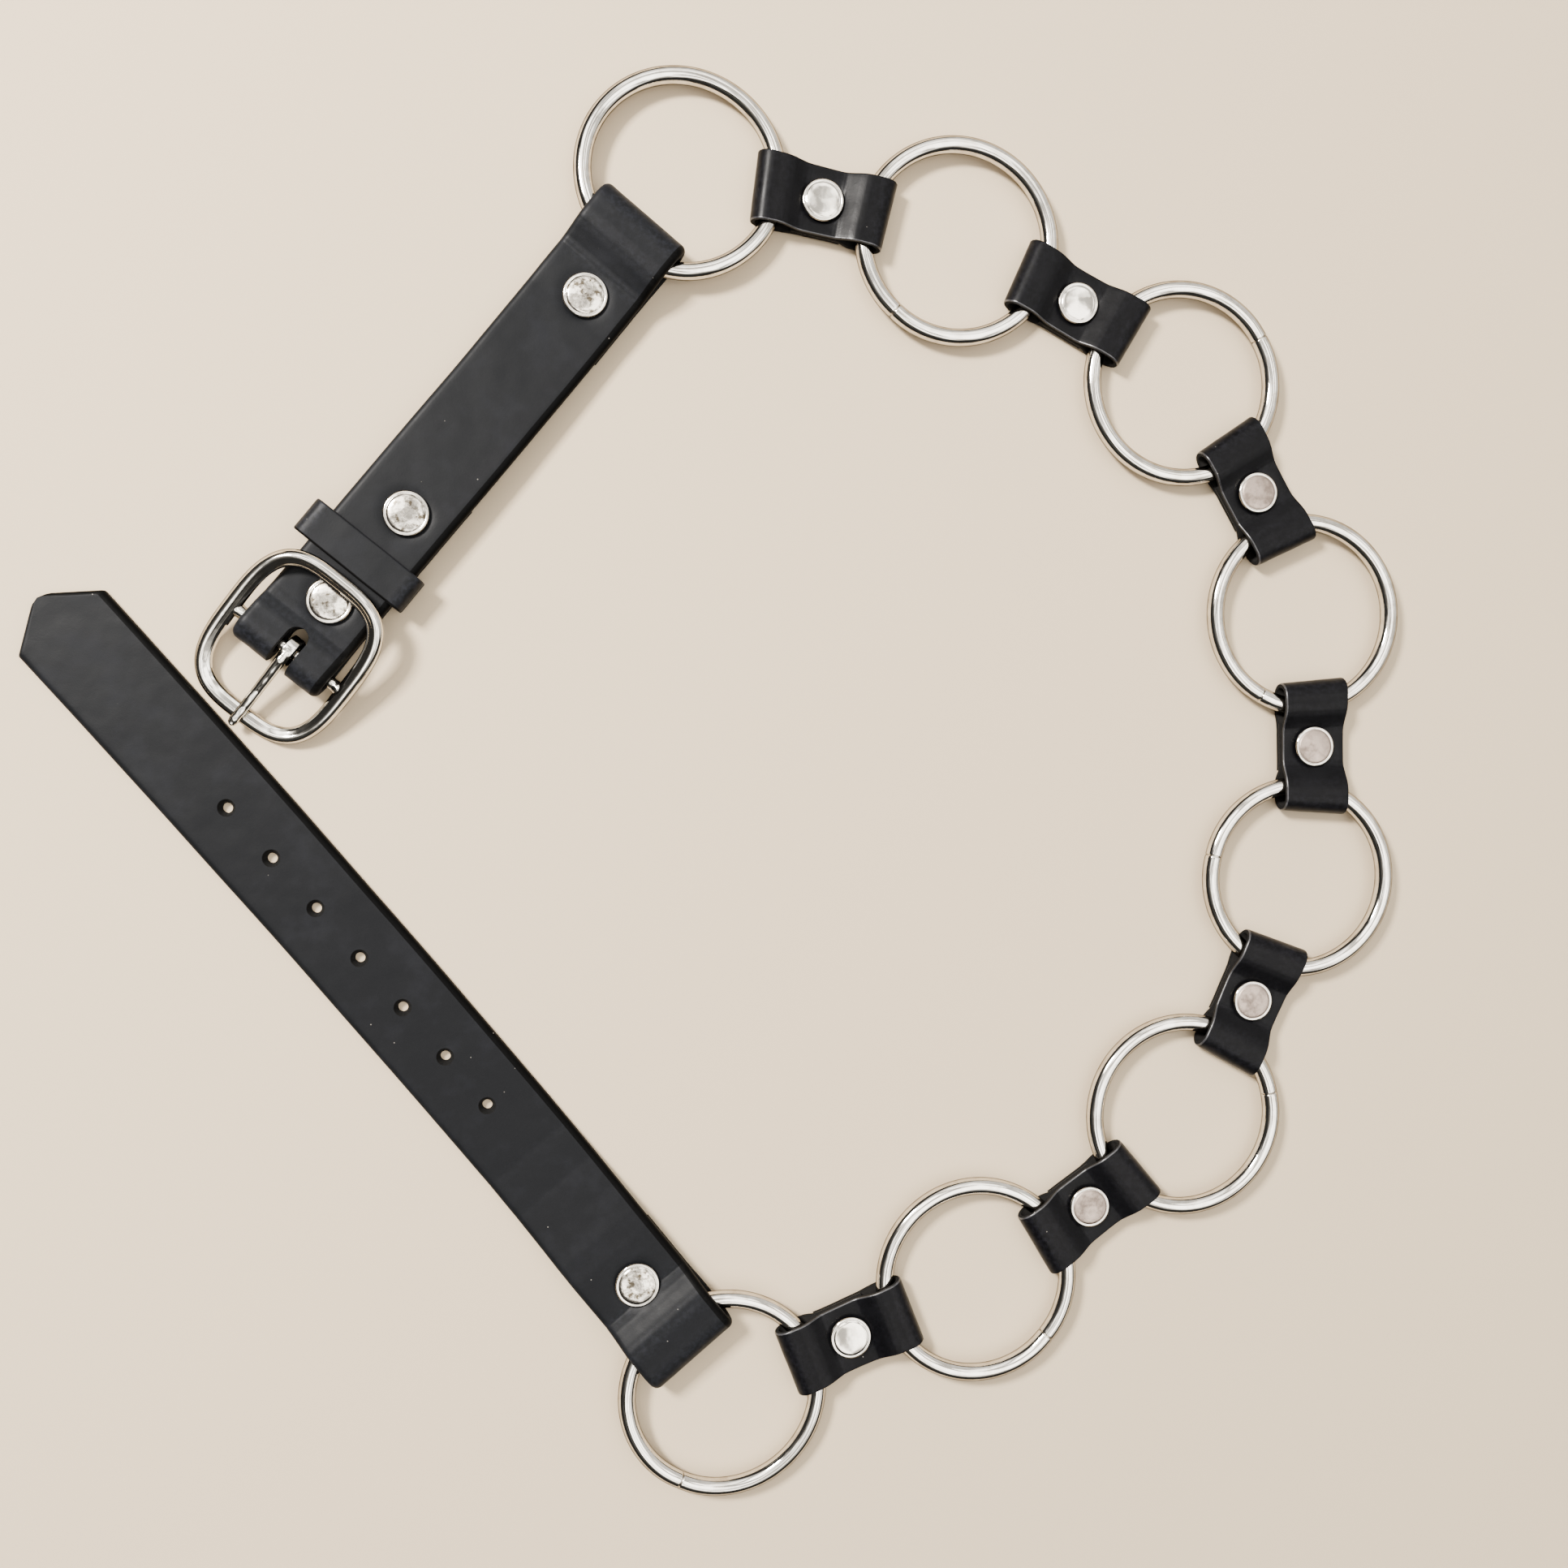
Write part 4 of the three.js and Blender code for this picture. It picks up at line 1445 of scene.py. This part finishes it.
@dataclass
class Studio:
    """The floor, the light and the camera.

    Attributes:
        camera_place: The camera's place, from the perspective of the eight equal rings.
        lean_side: How far the camera leans to one side, in degrees.
        lean_back: How far it leans back, in degrees.
        focal_px: The focal length in pixels of the photograph.
        photo_px: The photograph's width in pixels.
        sensor_mm: The width of the camera's sensor.
        floor_half: Half the floor's width, in metres.
        floor_z: The floor's height in metres, just under the belt.
        brighter_way: The direction in which the room grows brighter.
        lamp: The one lamp.
    """

    camera_place: tuple[float, float, float] = (-0.05208, 0.01288, 0.4400)
    lean_side: float = -8.107
    lean_back: float = -1.455
    focal_px: float = 1900.0
    photo_px: float = 1932.0
    sensor_mm: float = 36.0
    floor_half: float = 3.0
    floor_z: float = -0.00002
    brighter_way: tuple[float, float, float] = (0.46, 0.32, 1.0)
    lamp: SoftLight = SoftLight("window", (-0.80, 0.60, 1.05), (0.26, 0.26), 100.0, "#fffaf4")

    def build(self) -> None:
        """Builds the setting."""
        self.floor()
        self.world()
        self.lamp.build()
        self.camera()

    def floor(self) -> None:
        """Lays a wide pale floor just under the belt."""
        half, z = self.floor_half, self.floor_z
        corners = np.array([(-half, -half, z), (half, -half, z), (half, half, z), (-half, half, z)])
        floor = mesh_object("floor", corners, [(0, 1, 2, 3)])
        floor.data.materials.append(PaleFloor().material())

    def world(self) -> None:
        """Sets the room that the nickel mirrors.

        It has bright panes overhead, is plain near the horizon and is dark low on the left.
        """
        world = bpy.data.worlds.new("studio")
        bpy.context.scene.world = world
        world.use_nodes = True
        world.node_tree.nodes.clear()
        add = partial(add_node, world.node_tree)
        sight = add("TexCoord", "Generated")
        side = add("VectorMath", "Value", {"operation": "DOT_PRODUCT", 1: self.brighter_way}, {0: sight})
        level = add("MapRange", "Result", span(0.50, 0.66, 0.03, 1.0), {"Value": side})
        patches = {"Scale": 2.6, "Detail": 2.0, "Roughness": 0.5}
        patch = add("TexNoise", "Fac", patches, {"Vector": sight})
        pane = add("MapRange", "Result", span(0.43, 0.54, 1.2, 8.5), {"Value": patch})
        climb = add("SeparateXYZ", "Z", {}, {"Vector": sight})
        overhead = add("MapRange", "Result", span(0.5, 0.72, 0.0, 1.0), {"Value": climb})
        room = add("Mix", 0, {"data_type": "FLOAT", 2: 1.5}, {0: overhead, 3: pane})
        light = add("Math", "Value", {"operation": "MULTIPLY"}, {0: level, 1: room})
        back = add("Background", "Background", {"Color": srgb("#f4f1ec")}, {"Strength": light})
        add("OutputWorld", None, {}, {"Surface": back})

    def camera(self) -> None:
        """Places the camera where the photograph was taken from."""
        data = bpy.data.cameras.new("camera")
        data.sensor_width = self.sensor_mm
        data.lens = self.sensor_mm * self.focal_px / self.photo_px
        data.clip_start = 0.01
        camera = bpy.data.objects.new("camera", data)
        side = Matrix.Rotation(math.radians(self.lean_side), 4, "Y")
        back = Matrix.Rotation(math.radians(self.lean_back), 4, "X")
        camera.matrix_world = Matrix.Translation(self.camera_place) @ side @ back
        bpy.context.scene.collection.objects.link(camera)
        bpy.context.scene.camera = camera


def main() -> None:
    """Loads the frame, builds the belt round it and sets it in the studio."""
    logging.basicConfig(level=logging.INFO, format="%(name)s: %(message)s")
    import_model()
    palette = Palette()
    RingBelt().build(palette)
    Studio().build()


if __name__ == "__main__":
    main()
